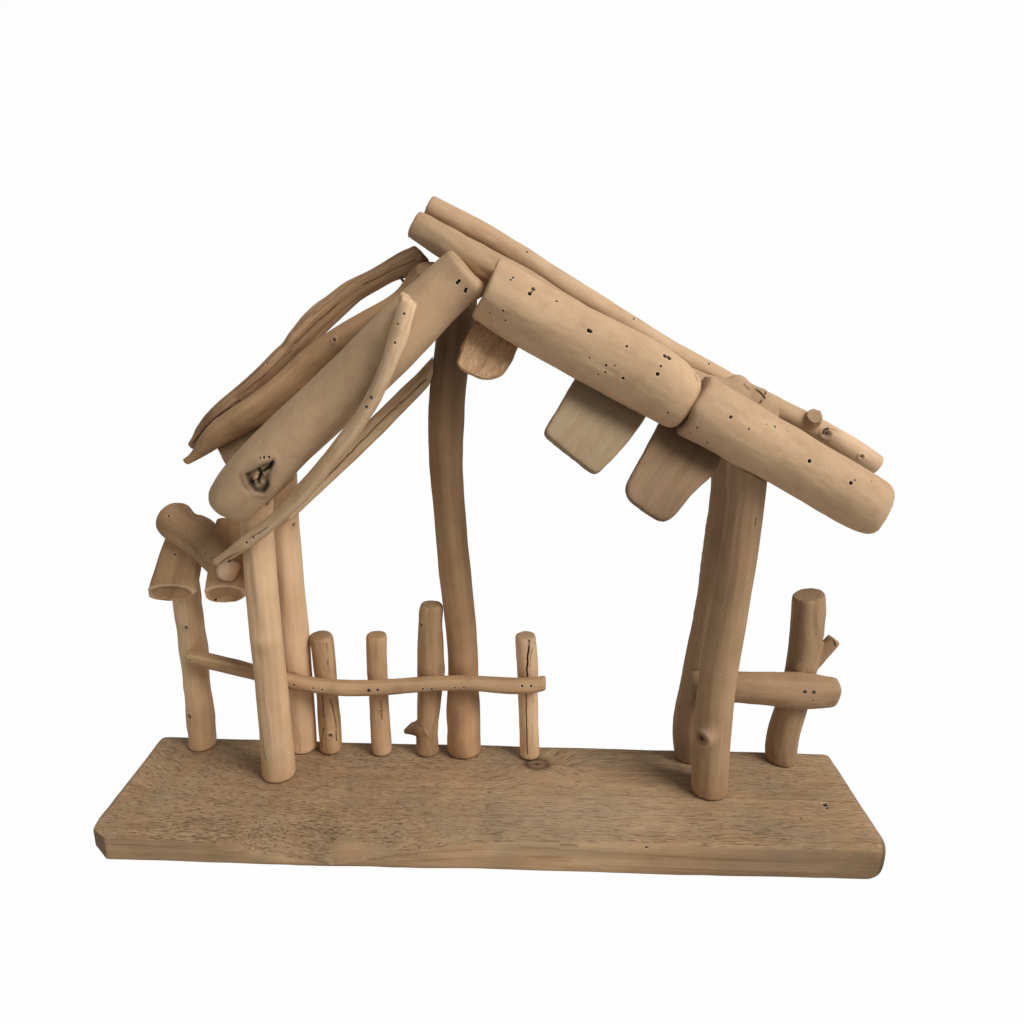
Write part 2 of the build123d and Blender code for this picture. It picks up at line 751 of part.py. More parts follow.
# Plank: eased edges, a bevelled back edge and a waney dip in its front edge
def make_plank():
    whole = Box(plank_length, plank_depth, plank_thickness, align=from_below)
    whole = fillet(whole.edges().filter_by(Axis.Z), plank_corner)
    whole = fillet(whole.faces().sort_by(Axis.Z)[-1].edges(), plank_edge_ease)
    whole = fillet(whole.faces().sort_by(Axis.Z)[0].edges(), plank_foot_ease)
    bevel = beyond(Vector(0, plank_depth / 2 - back_bevel, deck_z), north + sky)
    fall = plank_thickness - wane_left
    slope_length = math.hypot(wane_run, fall)
    depth = wane_run * fall / slope_length
    radius = (wane_width ** 2 / 4 + depth ** 2) / (2 * depth)
    front = Vector(wane_x, -plank_depth / 2, wane_left)
    along = Vector(0, wane_run / slope_length, fall / slope_length)
    lift = Vector(0, -fall / slope_length, wane_run / slope_length)
    scoop = Plane(origin=front + lift * radius, z_dir=along) * Cylinder(radius, reach)
    wood["base_plank"] = whole - bevel - scoop


make_plank()


# Brads: a wire nail with a small head, sunk below the wood that it is driven through
def nail(group, pieces, entry, heading, length):
    seat = Plane(origin=entry + heading * brad_sink, z_dir=heading)
    shank = Cylinder(brad_diameter / 2, length, align=from_below)
    head = Cylinder(brad_head_diameter / 2, brad_head_thickness, align=from_below)
    way_in = Cylinder(brad_head_diameter / 2, brad_head_diameter, align=from_above)
    wire = seat * (shank + head)
    brads[group].append(wire)
    for piece in pieces:
        wood[piece] = wood[piece] - (wire + seat * way_in)


def nail_log(log, pieces, down, bite):
    """One brad through the crown of a roof log into what lies under it."""
    middle, radius = log_spot(log, down)
    length = 2 * radius - seat_bite - brad_sink + bite
    nail("roof_brads", pieces, middle + log.roof.out * radius, -log.roof.out, length)


def nail_logs_together(upper, upper_name, lower_name, down):
    """One brad down the roof through a branch into the log beside it."""
    middle, radius = log_spot(upper, down)
    length = 2 * radius + brad_bite
    entry = middle + upper.roof.across * radius
    nail("roof_brads", [upper_name, lower_name], entry, -upper.roof.across, length)


def nail_roof():
    slat_bite = slat_thickness - slat_brad_left
    right_logs = [
        (upper_log, "right_upper_front_log"), (middle_log, "right_middle_log"), (back_log, "right_back_log")
    ]
    for log, name in right_logs:
        nail_log(log, [name, "ridge_slat"], ridge_slat_place - brad_spacing, slat_bite)
        nail_log(log, [name, "middle_slat"], middle_slat_place - brad_spacing, slat_bite)
    for log, name in right_logs[1:]:
        nail_log(log, [name, "lower_slat"], lower_slat_place - brad_spacing, slat_bite)
    nail_log(upper_log, ["right_upper_front_log", "ridge_slat"], ridge_slat_place + brad_spacing, slat_bite)
    nail_log(upper_log, ["right_upper_front_log", "middle_slat"], middle_slat_place + brad_spacing, slat_bite)
    for step in (1, 3):
        down = lower_log_start + step * brad_spacing
        nail_log(lower_log, ["right_lower_front_log", "lower_slat"], down, slat_bite)
    left_logs = [
        (left_log, "left_front_log"), (left_branch, "left_middle_branch"),
        (left_back_branch, "left_back_branch"),
    ]
    for log, name in left_logs:
        nail_log(log, [name, "left_eave_slat"], eave_slat_place + brad_spacing, slat_bite)


def nail_roof_to_posts():
    down = log_at_x(lower_log, front_right_post_x)
    nail_log(lower_log, ["right_lower_front_log", "front_right_post"], down, brad_bite)
    down = log_at_x(left_log, front_left_post_x) + 2 * brad_spacing
    pieces = ["left_front_log", "left_eave_slat", "front_left_post"]
    nail_log(left_log, pieces, down, slat_thickness + brad_bite)
    down = log_at_x(back_log, ridge_post_x)
    nail_log(back_log, ["right_back_log", "ridge_post"], down, brad_bite)
    down = log_at_x(back_log, rear_right_post_x) - brad_spacing
    pieces = ["right_back_log", "lower_slat", "rear_right_post"]
    nail_log(back_log, pieces, down, slat_thickness + brad_bite)
    down = log_at_x(left_back_branch, rear_left_post_x)
    nail_log(left_back_branch, ["left_back_branch", "rear_left_post"], down, brad_bite)
    for step in (1.5, 3):
        down = left_back_branch_start + step * brad_spacing
        nail_logs_together(left_back_branch, "left_back_branch", "left_middle_branch", down)


nail_roof()
nail_roof_to_posts()


def nail_fence():
    """Two brads through the left rail at each crossing, one at its end, and fours through the right rail."""
    rail_length = left_rail_stick.end.X - left_rail_stick.start.X
    for name, carrier in left_rail_carriers.items():
        height = left_rail_start_z - deck_z
        crossing = stick_spot(carrier, height / (carrier.end.Z - deck_z))[0].X
        places = [crossing - brad_spacing / 2, crossing + brad_spacing / 2]
        if name == "far_left_post":
            places = [left_rail_start_x + brad_spacing / 2]
        for x in places:
            middle, radius = stick_spot(left_rail_stick, (x - left_rail_start_x) / rail_length)
            length = 2 * radius - seat_bite - brad_sink + brad_bite
            nail("fence_brads", ["left_fence_rail", name], middle - north * radius, north, length)
    for name, carrier in right_rail_carriers.items():
        crossing = stick_spot(carrier, (right_rail_z - deck_z) / (carrier.end.Z - deck_z))[0].X
        for side in (-0.5, 0.5):
            for lift in (-0.5, 0.5):
                slump = math.sqrt(1 - (lift * brad_spacing / (right_rail_height / 2)) ** 2)
                entry = Vector(
                    crossing + side * brad_spacing, right_rail_back - right_rail_swell * slump,
                    right_rail_z + lift * brad_spacing,
                )
                length = right_rail_depth + brad_bite
                nail("fence_brads", ["right_fence_rail", name], entry, north, length)


def nail_braces():
    for along, name in [
        (brace_at_log_share, "left_front_log"), (brace_at_post_share, "front_left_post")
    ]:
        for side in (-0.5, 0.5):
            share = along + side * brad_spacing / (front_brace_stick.end - front_brace_stick.start).length
            middle, radius = stick_spot(front_brace_stick, share)
            nail("brace_brads", ["front_brace", name], middle - north * radius, north, 2 * radius + brad_bite)
    middle, radius = stick_spot(rear_brace_stick, brace_at_rear_post_share)
    entry = middle - north * radius
    nail("brace_brads", ["rear_brace", "rear_left_post"], entry, north, 2 * radius + brad_bite)


def nail_wing():
    run = wing_log_end - wing_log_start
    for x, name in [(wing_outer_slat_x, "wing_outer_slat"), (wing_inner_slat_x, "wing_inner_slat")]:
        middle = wing_log_start + run * ((x - wing_log_start.X) / run.X)
        entry = middle + wing_roof.out * (wing_log_thickness / 2)
        length = wing_log_thickness - seat_bite + wing_slat_thickness - slat_brad_left - brad_sink
        nail("wing_brads", ["wing_roof_log", name], entry, -wing_roof.out, length)
    level = (fence_line_y + far_left_post_diameter / 4 - under_wing.Y) / wing_roof.across.Y
    entry = roof_point(wing_roof, far_left_post_x, level)
    length = wing_slat_thickness - brad_sink + brad_bite
    nail("wing_brads", ["wing_outer_slat", "far_left_post"], entry, -wing_roof.out, length)
    lap_middle_x = front_left_side_x + wing_lap / 2
    entry = roof_point(wing_roof, lap_middle_x, wing_slat_thickness, -wing_slat_thickness)
    length = wing_slat_thickness / wing_roof.across.Z + brad_bite
    nail("wing_brads", ["wing_inner_slat", "front_left_post"], entry, -north, length)


nail_fence()
nail_braces()
nail_wing()


# Screws: countersunk under the plank, and driven up into the foot of every post and picket
def screw_profile():
    top = deck_z + screw_bite
    half_shank = screw_diameter / 2
    return Polyline(
        (0, screw_sink), (screw_head_diameter / 2, screw_sink), (half_shank, screw_sink + screw_head_height),
        (half_shank, top - screw_tip_length), (0, top), close=True,
    )


uprights = {
    "front_left_post": front_left_stick, "front_right_post": front_right_stick,
    "rear_right_post": rear_right_stick, "far_right_post": far_right_stick, **left_rail_carriers,
}
screw = revolve(Plane.XZ * make_face(screw_profile()), Axis.Z)
screw_mouth = Cylinder(screw_head_diameter / 2, screw_head_diameter, align=from_above)
screw_way = screw + Pos(0, 0, screw_sink) * screw_mouth
screws = []


def drive_screws():
    for name, foot in uprights.items():
        place = Pos(foot.start.X, foot.start.Y, 0)
        screws.append(place * screw)
        wood[name] = wood[name] - place * screw
        wood["base_plank"] = wood["base_plank"] - place * screw_way


drive_screws()


# Every piece of wood is a node of its own, and the brads and screws are groups
os.makedirs("parts", exist_ok=True)
for name, solid in wood.items():
    export_step(solid, f"parts/{name}.step")
for name, group in brads.items():
    export_step(Compound(children=group), f"parts/{name}.step")
export_step(Compound(children=screws), "parts/base_screws.step")
for name, solid in wood.items():
    print(name, len(solid.solids()), round(solid.volume), solid.is_valid)
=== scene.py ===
# %% [markdown]
# # A driftwood nativity stable
# The stable is a plank with posts, a fence and a roof of driftwood sticks, all nailed together by hand.
# Its solids come packed as one fixed frame, in metres, with Z up and the front facing minus Y.
# This lesson gives each stick the skin that sea, sun and worms leave on wood, and then lights the whole.

import json
import math
from types import SimpleNamespace

import bmesh
import bpy
import numpy as np
from mathutils import Matrix, Vector
from mathutils.bvhtree import BVHTree


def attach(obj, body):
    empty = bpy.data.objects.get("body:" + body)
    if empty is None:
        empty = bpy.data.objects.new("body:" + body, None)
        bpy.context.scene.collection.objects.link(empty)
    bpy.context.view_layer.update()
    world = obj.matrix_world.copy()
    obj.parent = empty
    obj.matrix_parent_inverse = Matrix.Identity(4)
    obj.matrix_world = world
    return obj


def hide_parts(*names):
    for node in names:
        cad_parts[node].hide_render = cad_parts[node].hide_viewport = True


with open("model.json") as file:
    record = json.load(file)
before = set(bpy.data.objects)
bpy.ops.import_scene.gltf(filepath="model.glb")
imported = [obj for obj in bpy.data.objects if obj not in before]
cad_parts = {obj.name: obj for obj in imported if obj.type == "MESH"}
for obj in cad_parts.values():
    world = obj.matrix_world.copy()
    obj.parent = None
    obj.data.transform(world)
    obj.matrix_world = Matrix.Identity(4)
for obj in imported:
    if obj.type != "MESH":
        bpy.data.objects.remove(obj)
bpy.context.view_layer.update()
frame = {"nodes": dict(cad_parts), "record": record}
scene = bpy.context.scene
MM = 0.001
print("nodes in the frame:", len(frame["nodes"]))

# %% [markdown]
# ## The camera
# The camera stands close in front of the stable, a little above its middle, and looks down on the plank.
# A short lens at a short distance makes the plank's front edge look longer than its back edge.
# A lens in millimetres and a turn about three axes is all that it needs, so no target or constraint is used.
# The same turn later sends sight lines through points of the picture, to place marks on the wood.

# %% Camera
picture_side = 1024
picture_middle = picture_side / 2
sensor_width = 36.0
lens_length = 26.751
camera_place = Vector((6.545, -361.715, 291.120)) * MM
look_down = math.radians(17.032)
look_aside = math.radians(-0.016)
camera_roll = math.radians(1.520)

camera_turn = (
    Matrix.Rotation(-look_aside, 3, "Z")
    @ Matrix.Rotation(math.pi / 2 - look_down, 3, "X")
    @ Matrix.Rotation(camera_roll, 3, "Z")
)
lens = bpy.data.cameras.new("front_camera")
lens.sensor_width = sensor_width
lens.lens = lens_length
camera = bpy.data.objects.new("front_camera", lens)
scene.collection.objects.link(camera)
camera.matrix_world = Matrix.Translation(camera_place) @ camera_turn.to_4x4()
scene.camera = camera
focal_pixels = lens_length / sensor_width * picture_side
print("the lens is", round(focal_pixels), "pixels long")


def sight_line(pixel):
    """The direction from the camera through a point of the picture."""
    across = (pixel[0] - picture_middle) / focal_pixels
    upward = (picture_middle - pixel[1]) / focal_pixels
    return (camera_turn @ Vector((across, upward, -1.0))).normalized()


def picture_places(points):
    """Where points of the stable fall in the picture."""
    seen = (points - np.array(camera_place)) @ np.array(camera_turn)
    steps = focal_pixels * seen[:, :2] / seen[:, 2:]
    return np.column_stack([picture_middle - steps[:, 0], picture_middle + steps[:, 1]])


# %% [markdown]
# ## The studio
# One large soft lamp stands high in front on the right, as a window would,
# so the left sides of the posts are darker.
# A weaker lamp on the left keeps the shaded sides open, and a little even light comes from all round.
# The floor shows the camera nearly plain white and keeps a trace of the shadow, which Light Path makes possible
# without putting more light on the wood.

# %% Studio tools
paper_white = (1.0, 1.0, 1.0, 1.0)


def link_nodes(tree, *pairs):
    """Joins each output to each input."""
    for output, socket in pairs:
        tree.links.new(output, socket)


def place_node(tree, kind, inputs=None, **settings):
    """Adds a node, sets it, and fills its inputs with values or with other nodes' outputs."""
    node = tree.nodes.new(kind)
    for name, value in settings.items():
        setattr(node, name, value)
    for key, value in (inputs or {}).items():
        if isinstance(value, bpy.types.NodeSocket):
            tree.links.new(value, node.inputs[key])
        else:
            node.inputs[key].default_value = value
    return node


def sum_node(tree, operation, *values):
    """A Math node's result."""
    return place_node(tree, "ShaderNodeMath", dict(enumerate(values)), operation=operation).outputs[0]


def camera_white(tree):
    """Says where a ray comes straight from the camera, or by way of a mirror or glass."""
    path = tree.nodes.new("ShaderNodeLightPath").outputs
    either = sum_node(tree, "MAXIMUM", path["Is Camera Ray"], path["Is Glossy Ray"])
    return sum_node(tree, "MAXIMUM", either, path["Is Transmission Ray"])


# %% Floor
floor_half = 3.0
floor_drop = 0.2 * MM
floor_pale = (0.62, 0.62, 0.62, 1.0)
floor_whiteness = 0.98

floor_signs = [(-1, -1), (1, -1), (1, 1), (-1, 1)]
floor_mesh = bpy.data.meshes.new("studio_floor")
floor_mesh.from_pydata([(x * floor_half, y * floor_half, 0) for x, y in floor_signs], [], [(0, 1, 2, 3)])
floor = bpy.data.objects.new("studio_floor", floor_mesh)
floor.location.z = -floor_drop
scene.collection.objects.link(floor)

floor_paper = bpy.data.materials.new("floor_paper")
floor_paper.use_nodes = True
tree = floor_paper.node_tree
tree.nodes.clear()
matte = place_node(tree, "ShaderNodeBsdfDiffuse", {"Color": floor_pale})
white = place_node(tree, "ShaderNodeEmission", {"Color": paper_white})
lift = sum_node(tree, "MULTIPLY", camera_white(tree), floor_whiteness)
blend = place_node(tree, "ShaderNodeMixShader", {0: lift, 1: matte.outputs[0], 2: white.outputs[0]})
place_node(tree, "ShaderNodeOutputMaterial", {"Surface": blend.outputs[0]})
floor_mesh.materials.append(floor_paper)
print("floor:", 2 * floor_half, "metres wide")

# %% Light from all round
world_strength = 0.19
sky_whiteness = 0.984

studio = bpy.data.worlds.new("studio")
studio.use_nodes = True
scene.world = studio
tree = studio.node_tree
tree.nodes.clear()
strength = place_node(
    tree,
    "ShaderNodeMapRange",
    {"Value": camera_white(tree), "To Min": world_strength, "To Max": sky_whiteness},
)
sky = place_node(tree, "ShaderNodeBackground", {"Color": paper_white, "Strength": strength.outputs["Result"]})
place_node(tree, "ShaderNodeOutputWorld", {"Surface": sky.outputs[0]})
print("light from all round:", world_strength)

# %% Lamps
stable_middle = (0.0, 0.0, 0.16)
lamp_side = 0.8
lamps = {"high_lamp": ((1.00, -0.66, 1.30), 27.0), "side_lamp": ((-1.1, -0.75, 0.75), 1.8)}


def soft_lamp(name, place, power):
    """A square lamp that looks at the middle of the stable."""
    light = bpy.data.lights.new(name, "AREA")
    light.shape = "SQUARE"
    light.size = lamp_side
    light.energy = power
    lamp = bpy.data.objects.new(name, light)
    scene.collection.objects.link(lamp)
    lamp.location = place
    lamp.rotation_euler = (Vector(stable_middle) - Vector(place)).to_track_quat("-Z", "Y").to_euler()


for name, (place, power) in lamps.items():
    soft_lamp(name, place, power)
scene.view_settings.view_transform = "Standard"
print("lamps:", sorted(lamps))

# %% [markdown]
# ## An even skin
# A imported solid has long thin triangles, which can't carry dents or pits.
# A voxel remesh lays an even net of small squares over it.
# Before that, the straight bores of the nails are closed,
# because in real wood the fibres close over a thin nail.
# The solid itself stays untouched in the frame; the net is a new object that stands for it.

# %% Nail places
brad_groups = ("roof_brads", "fence_brads", "brace_brads", "wing_brads")
weld = 0.002 * MM
way_in = 2.2 * MM
plug_reach = 1.25 * MM


def wires_of(node):
    """The two ends of each nail in a fastener group, and how far its bore reaches."""
    net = bmesh.new()
    net.from_mesh(frame["nodes"][node].data)
    bmesh.ops.remove_doubles(net, verts=net.verts, dist=weld)
    net.verts.index_update()
    seen = np.zeros(len(net.verts), bool)
    found = []
    for vert in net.verts:
        if seen[vert.index]:
            continue
        seen[vert.index] = True
        island = [vert]
        for member in island:
            for edge in member.link_edges:
                other = edge.other_vert(member)
                if not seen[other.index]:
                    seen[other.index] = True
                    island.append(other)
        rows = np.array([member.co for member in island])
        middle = rows.mean(0)
        axis = np.linalg.eigh(np.cov(rows.T))[1][:, -1]
        along = (rows - middle) @ axis
        found.append((middle + axis * along.min(), middle + axis * along.max(), plug_reach))
    net.free()
    return found


wires = [wire for node in brad_groups for wire in wires_of(node)]
print("nails:", len(wires))


def in_bores(rows, bores):
    """Which points lie in the bore of a nail, or just outside its ends."""
    inside = np.zeros(len(rows), bool)
    for start, end, reach in bores:
        run = end - start
        spare = way_in / np.linalg.norm(run)
        share = np.clip((rows - start) @ run / (run @ run), -spare, 1 + spare)
        inside |= np.linalg.norm(rows - start - share[:, None] * run, axis=1) < reach
    return inside


# %% Skin of a solid
stick_net = 0.6 * MM
twig_net = 0.5 * MM
plank_net = 0.9 * MM


def skin_of(node, net_size, plugs=(), added=None):
    """A new object with an even net of squares over the node's solid and any added wood, its bores closed."""
    net = bmesh.new()
    net.from_mesh(frame["nodes"][node].data)
    bmesh.ops.remove_doubles(net, verts=net.verts, dist=weld)
    net.verts.index_update()
    inside = in_bores(np.array([vert.co for vert in net.verts]), [*wires, *plugs])
    walls = [face for face in net.faces if all(inside[vert.index] for vert in face.verts)]
    bmesh.ops.delete(net, geom=walls, context="FACES")
    bmesh.ops.holes_fill(net, edges=[edge for edge in net.edges if edge.is_boundary], sides=0)
    if added:
        net.from_mesh(added)
    bmesh.ops.triangulate(net, faces=net.faces)
    closed = bpy.data.meshes.new(node + "_closed")
    net.to_mesh(closed)
    net.free()
    piece = bpy.data.objects.new(node + "_wood", closed)
    scene.collection.objects.link(piece)
    remesh = piece.modifiers.new("even_net", "REMESH")
    remesh.mode = "VOXEL"
    remesh.voxel_size = net_size
    graph = bpy.context.evaluated_depsgraph_get()
    skin = bpy.data.meshes.new_from_object(piece.evaluated_get(graph))
    piece.modifiers.clear()
    piece.data = skin
    skin.name = piece.name
    skin.shade_smooth()
    bpy.data.meshes.remove(closed)
    return piece


def points_of(piece):
    """The piece's points as rows."""
    rows = np.empty(len(piece.data.vertices) * 3)
    piece.data.vertices.foreach_get("co", rows)
    return rows.reshape(-1, 3)


def put_points(piece, rows):
    """Moves the piece's points."""
    piece.data.vertices.foreach_set("co", np.ascontiguousarray(rows).ravel())
    piece.data.update()


def normals_of(piece):
    """The way out of the wood at each point."""
    rows = np.empty(len(piece.data.vertices) * 3)
    piece.data.vertices.foreach_get("normal", rows)
    return rows.reshape(-1, 3)


# %% [markdown]
# ## Grain that follows a bent stick
# Wood fibres run along a stick and bend with it.
# The longest direction of the points gives the stick's axis, and slices along it give its bent heart line.
# Measured from that line, each point has a place along the stick and a place across it,
# as if the stick were straight.
# Textures and dents that use these straightened places follow every bend, with no seam.

# %% Straightened places
slice_count = 28
smooth_shares = np.array([0.25, 0.5, 0.25])
least_lean = 0.3


def heart_line(points):
    """The stick's axis, places along it, and the middle of the wood there."""
    middle = points.mean(0)
    spread = (points - middle).T @ (points - middle)
    axis = np.linalg.eigh(spread)[1][:, -1]
    if axis[np.argmax(np.abs(axis))] < 0:
        axis = -axis
    along = (points - middle) @ axis
    edges = np.linspace(along.min(), along.max(), slice_count + 1)
    places = (edges[1:] + edges[:-1]) / 2
    hearts = []
    for low, high in zip(edges[:-1], edges[1:]):
        here = points[(along >= low) & (along <= high)]
        hearts.append((here.min(0) + here.max(0)) / 2 if len(here) else hearts[-1])
    hearts = np.array(hearts)
    for _ in range(2):
        padded = np.vstack([2 * hearts[0] - hearts[1], hearts, 2 * hearts[-1] - hearts[-2]])
        hearts = sum(share * padded[k : k + slice_count] for k, share in enumerate(smooth_shares))
    return axis, middle, places, hearts


def straightened(points):
    """Each point's place along the stick, across it and to the viewer, and the fibre's direction there."""
    axis, middle, places, hearts = heart_line(points)
    along = (points - middle) @ axis
    heart = np.column_stack([np.interp(along, places, hearts[:, k]) for k in range(3)])
    slope = np.gradient(hearts, places, axis=0)
    fibre = np.column_stack([np.interp(along, places, slope[:, k]) for k in range(3)])
    fibre /= np.linalg.norm(fibre, axis=1, keepdims=True)
    front = np.array([0.0, -1.0, 0.0])
    front = front - axis * (front @ axis)
    if np.linalg.norm(front) < least_lean:
        front = np.array([0.0, 0.0, 1.0]) - axis * axis[2]
    front /= np.linalg.norm(front)
    side = np.cross(axis, front)
    off = points - heart
    return np.column_stack([along, off @ side, off @ front]), fibre


# %% [markdown]
# ## Soft noise and wear
# Nothing on driftwood is straight, but it is smooth.
# Random numbers on a coarse lattice, eased from one corner to the next, give dents that are uneven and soft.
# A fixed seed for each stick gives the same dents on each run.
# Wear moves each point of the net towards the middle of its neighbours:
# sharp edges shrink back, and flat wood stays.

# %% Noise and wear
lattice_side = 24
end_reach = 14 * MM


def soft_noise(places, seed):
    """Smooth values from -1 to 1, about one dent per unit of length."""
    lattice = np.random.default_rng(seed).uniform(-1, 1, (lattice_side,) * 3)
    cell = np.floor(places).astype(int)
    share = places - cell
    share = share * share * (3 - 2 * share)
    value = np.zeros(len(places))
    for corner in np.ndindex(2, 2, 2):
        weight = np.prod(np.where(corner, share, 1 - share), axis=1)
        x, y, z = ((cell + corner) % lattice_side).T
        value += weight * lattice[x, y, z]
    return value


def rough_noise(places, seed, layers=3):
    """Soft noise with finer and weaker layers on top."""
    return sum(soft_noise(places * 2**k, seed + k) / 2**k for k in range(layers))


def ease(low, high, value):
    """A smooth step from 0 at low to 1 at high."""
    share = np.clip((value - low) / (high - low), 0, 1)
    return share * share * (3 - 2 * share)


def hump(value, width):
    """1 where the value is zero, falling off smoothly over the width."""
    return np.exp(-((value / width) ** 2))


def distances(points, place):
    """How far each point lies from a place."""
    return np.linalg.norm(points - place, axis=1)


def wear_down(piece, rounds, share):
    """Wears the wood round, most where the share is 1."""
    pairs = np.empty(len(piece.data.edges) * 2, dtype=np.int32)
    piece.data.edges.foreach_get("vertices", pairs)
    first, second = pairs.reshape(-1, 2).T
    points = points_of(piece)
    count = len(points)
    around = np.maximum(np.bincount(pairs, minlength=count), 1)
    pull = share / around / 2
    for _ in range(rounds):
        for k in range(3):
            row = points[:, k]
            total = np.bincount(first, row[second], count) + np.bincount(second, row[first], count)
            points[:, k] += pull * (total - around * row)
    put_points(piece, points)


def wear_ends(piece, start, end, between):
    """Wears a stick by so many rounds at its start, at its end and between."""
    along = straightened(points_of(piece))[0][:, 0]
    near_start = 1 - ease(0, end_reach, along - along.min())
    near_end = 1 - ease(0, end_reach, along.max() - along)
    rounds = between + (start - between) * near_start + (end - between) * near_end
    most = max(start, end, between)
    wear_down(piece, most, rounds / most)


# %% [markdown]
# ## Places in the picture
# Worms leave round holes, drying leaves cracks, and lost branches leave knots.
# A sight line through a point of the picture finds where such a mark sits on its stick.
# A stick's outline can be drawn across the picture in the same way: a few points say how far they move,
# and the wood between them follows smoothly, so no edge gets a kink.

# %% Places on the wood
tremble_run = 4 * MM
tremble = 0.35 * MM


def bvh_of(piece):
    """A tree of the piece's faces, for finding places on them."""
    return BVHTree.FromObject(piece, bpy.context.evaluated_depsgraph_get())


def on_wood(piece, tree, pixels):
    """Where the sight lines through some points of the picture meet the piece, or pass nearest to it."""
    far = float(np.linalg.norm(points_of(piece).mean(0) - np.array(camera_place)))
    found = []
    for pixel in pixels:
        way = sight_line(pixel)
        place = tree.ray_cast(camera_place, way)[0] or tree.find_nearest(camera_place + way * far)[0]
        found.append(np.array(place))
    return found


def spots(piece, tree, marks):
    """The place of each mark on the wood, followed by the mark's own sizes."""
    return [(on_wood(piece, tree, [mark[:2]])[0], *mark[2:]) for mark in marks]


def to_camera(points, normals):
    """Above zero where the wood faces the camera."""
    return ((np.array(camera_place) - points) * normals).sum(1)


def path_points(corners, step, seed):
    """Points along a broken line, no further apart than the step, with a slight tremble."""
    line = [corners[0]]
    for start, end in zip(corners[:-1], corners[1:]):
        count = max(1, math.ceil(np.linalg.norm(end - start) / step))
        line += [start + (end - start) * k / count for k in range(1, count + 1)]
    line = np.array(line)
    return line + tremble * np.column_stack([soft_noise(line / tremble_run, seed + k) for k in range(3)])


def distance_to(points, line, reach):
    """Each point's distance to the nearest point of a line, as far as the reach."""
    nearest = np.full(len(points), np.inf)
    near = np.all((points > line.min(0) - reach) & (points < line.max(0) + reach), axis=1)
    close = np.full(near.sum(), np.inf)
    for place in line:
        close = np.minimum(close, distances(points[near], place))
    nearest[near] = close
    return nearest


# %% Drawn outlines
def shift_in_picture(piece, steps):
    """Moves the piece's points across the picture, each by its step in pixels."""
    points = points_of(piece)
    turn = np.array(camera_turn)
    pixel = ((np.array(camera_place) - points) @ turn[:, 2])[:, None] / focal_pixels
    put_points(piece, points + pixel * (steps[:, :1] * turn[:, 0] - steps[:, 1:] * turn[:, 1]))


def pull(piece, pulls):
    """Draws a piece across the picture: each pull is a point, a reach and the point's step, in pixels."""
    rows = np.array(pulls, dtype=float)

    def nearness(places):
        return hump(np.linalg.norm(places[:, None] - rows[None, :, :2], axis=2), rows[:, 2])

    shares = np.linalg.solve(nearness(rows[:, :2]), rows[:, 3:])
    shift_in_picture(piece, nearness(picture_places(points_of(piece))) @ shares)


def make_finer(piece, near, cuts=2):
    """Divides the squares of the net where both ends of an edge are near a mark."""
    net = bmesh.new()
    net.from_mesh(piece.data)
    edges = [edge for edge in net.edges if near[edge.verts[0].index] and near[edge.verts[1].index]]
    bmesh.ops.subdivide_edges(net, edges=edges, cuts=cuts, use_grid_fill=True)
    net.to_mesh(piece.data)
    net.free()
    piece.data.shade_smooth()
    piece.data.update()


print("marks tremble by", tremble / MM, "mm")

# %% [markdown]
# ## The grain group
# Grain is the same effect on every stick, only finer or coarser, so it is one shader node group.
# It stretches noise along the straightened places: long soft streaks, and fine fibres between them.

# %% Group tools
FLOAT, PLACES = "NodeSocketFloat", "NodeSocketVector"


def eased(tree, value, low, high, start=0.0, end=1.0):
    """A smooth step in nodes, from start at low to end at high."""
    fill = {"Value": value, "From Min": low, "From Max": high, "To Min": start, "To Max": end}
    return place_node(tree, "ShaderNodeMapRange", fill, interpolation_type="SMOOTHSTEP").outputs["Result"]


def colour_mix(tree, share, first, second):
    """One colour laid over another."""
    return place_node(tree, "ShaderNodeMix", {0: share, 6: first, 7: second}, data_type="RGBA").outputs[2]


def vector_sum(tree, operation, first, second):
    """A Vector Math node's result."""
    return place_node(tree, "ShaderNodeVectorMath", {0: first, 1: second}, operation=operation).outputs[0]


def noise_node(tree, places, size, detail=3.0, roughness=0.55, distortion=0.0):
    """Noise with about one spot per unit of the places times the size."""
    fill = {"Vector": places, "Scale": size, "Detail": detail, "Roughness": roughness}
    return place_node(tree, "ShaderNodeTexNoise", {**fill, "Distortion": distortion}).outputs[0]


def stretched(tree, places, length, width):
    """Places divided by a length along the stick and a width across it."""
    size = place_node(tree, "ShaderNodeCombineXYZ", {0: length, 1: width, 2: width})
    return vector_sum(tree, "DIVIDE", places, size.outputs[0])


def new_group(name, inputs, outputs):
    """An empty node group with named sockets."""
    group = bpy.data.node_groups.new(name, "ShaderNodeTree")
    for label, kind, value in inputs:
        socket = group.interface.new_socket(label, in_out="INPUT", socket_type=kind)
        if value is not None:
            socket.default_value = value
    for label in outputs:
        group.interface.new_socket(label, in_out="OUTPUT", socket_type=FLOAT)
    return group, group.nodes.new("NodeGroupInput").outputs, group.nodes.new("NodeGroupOutput").inputs


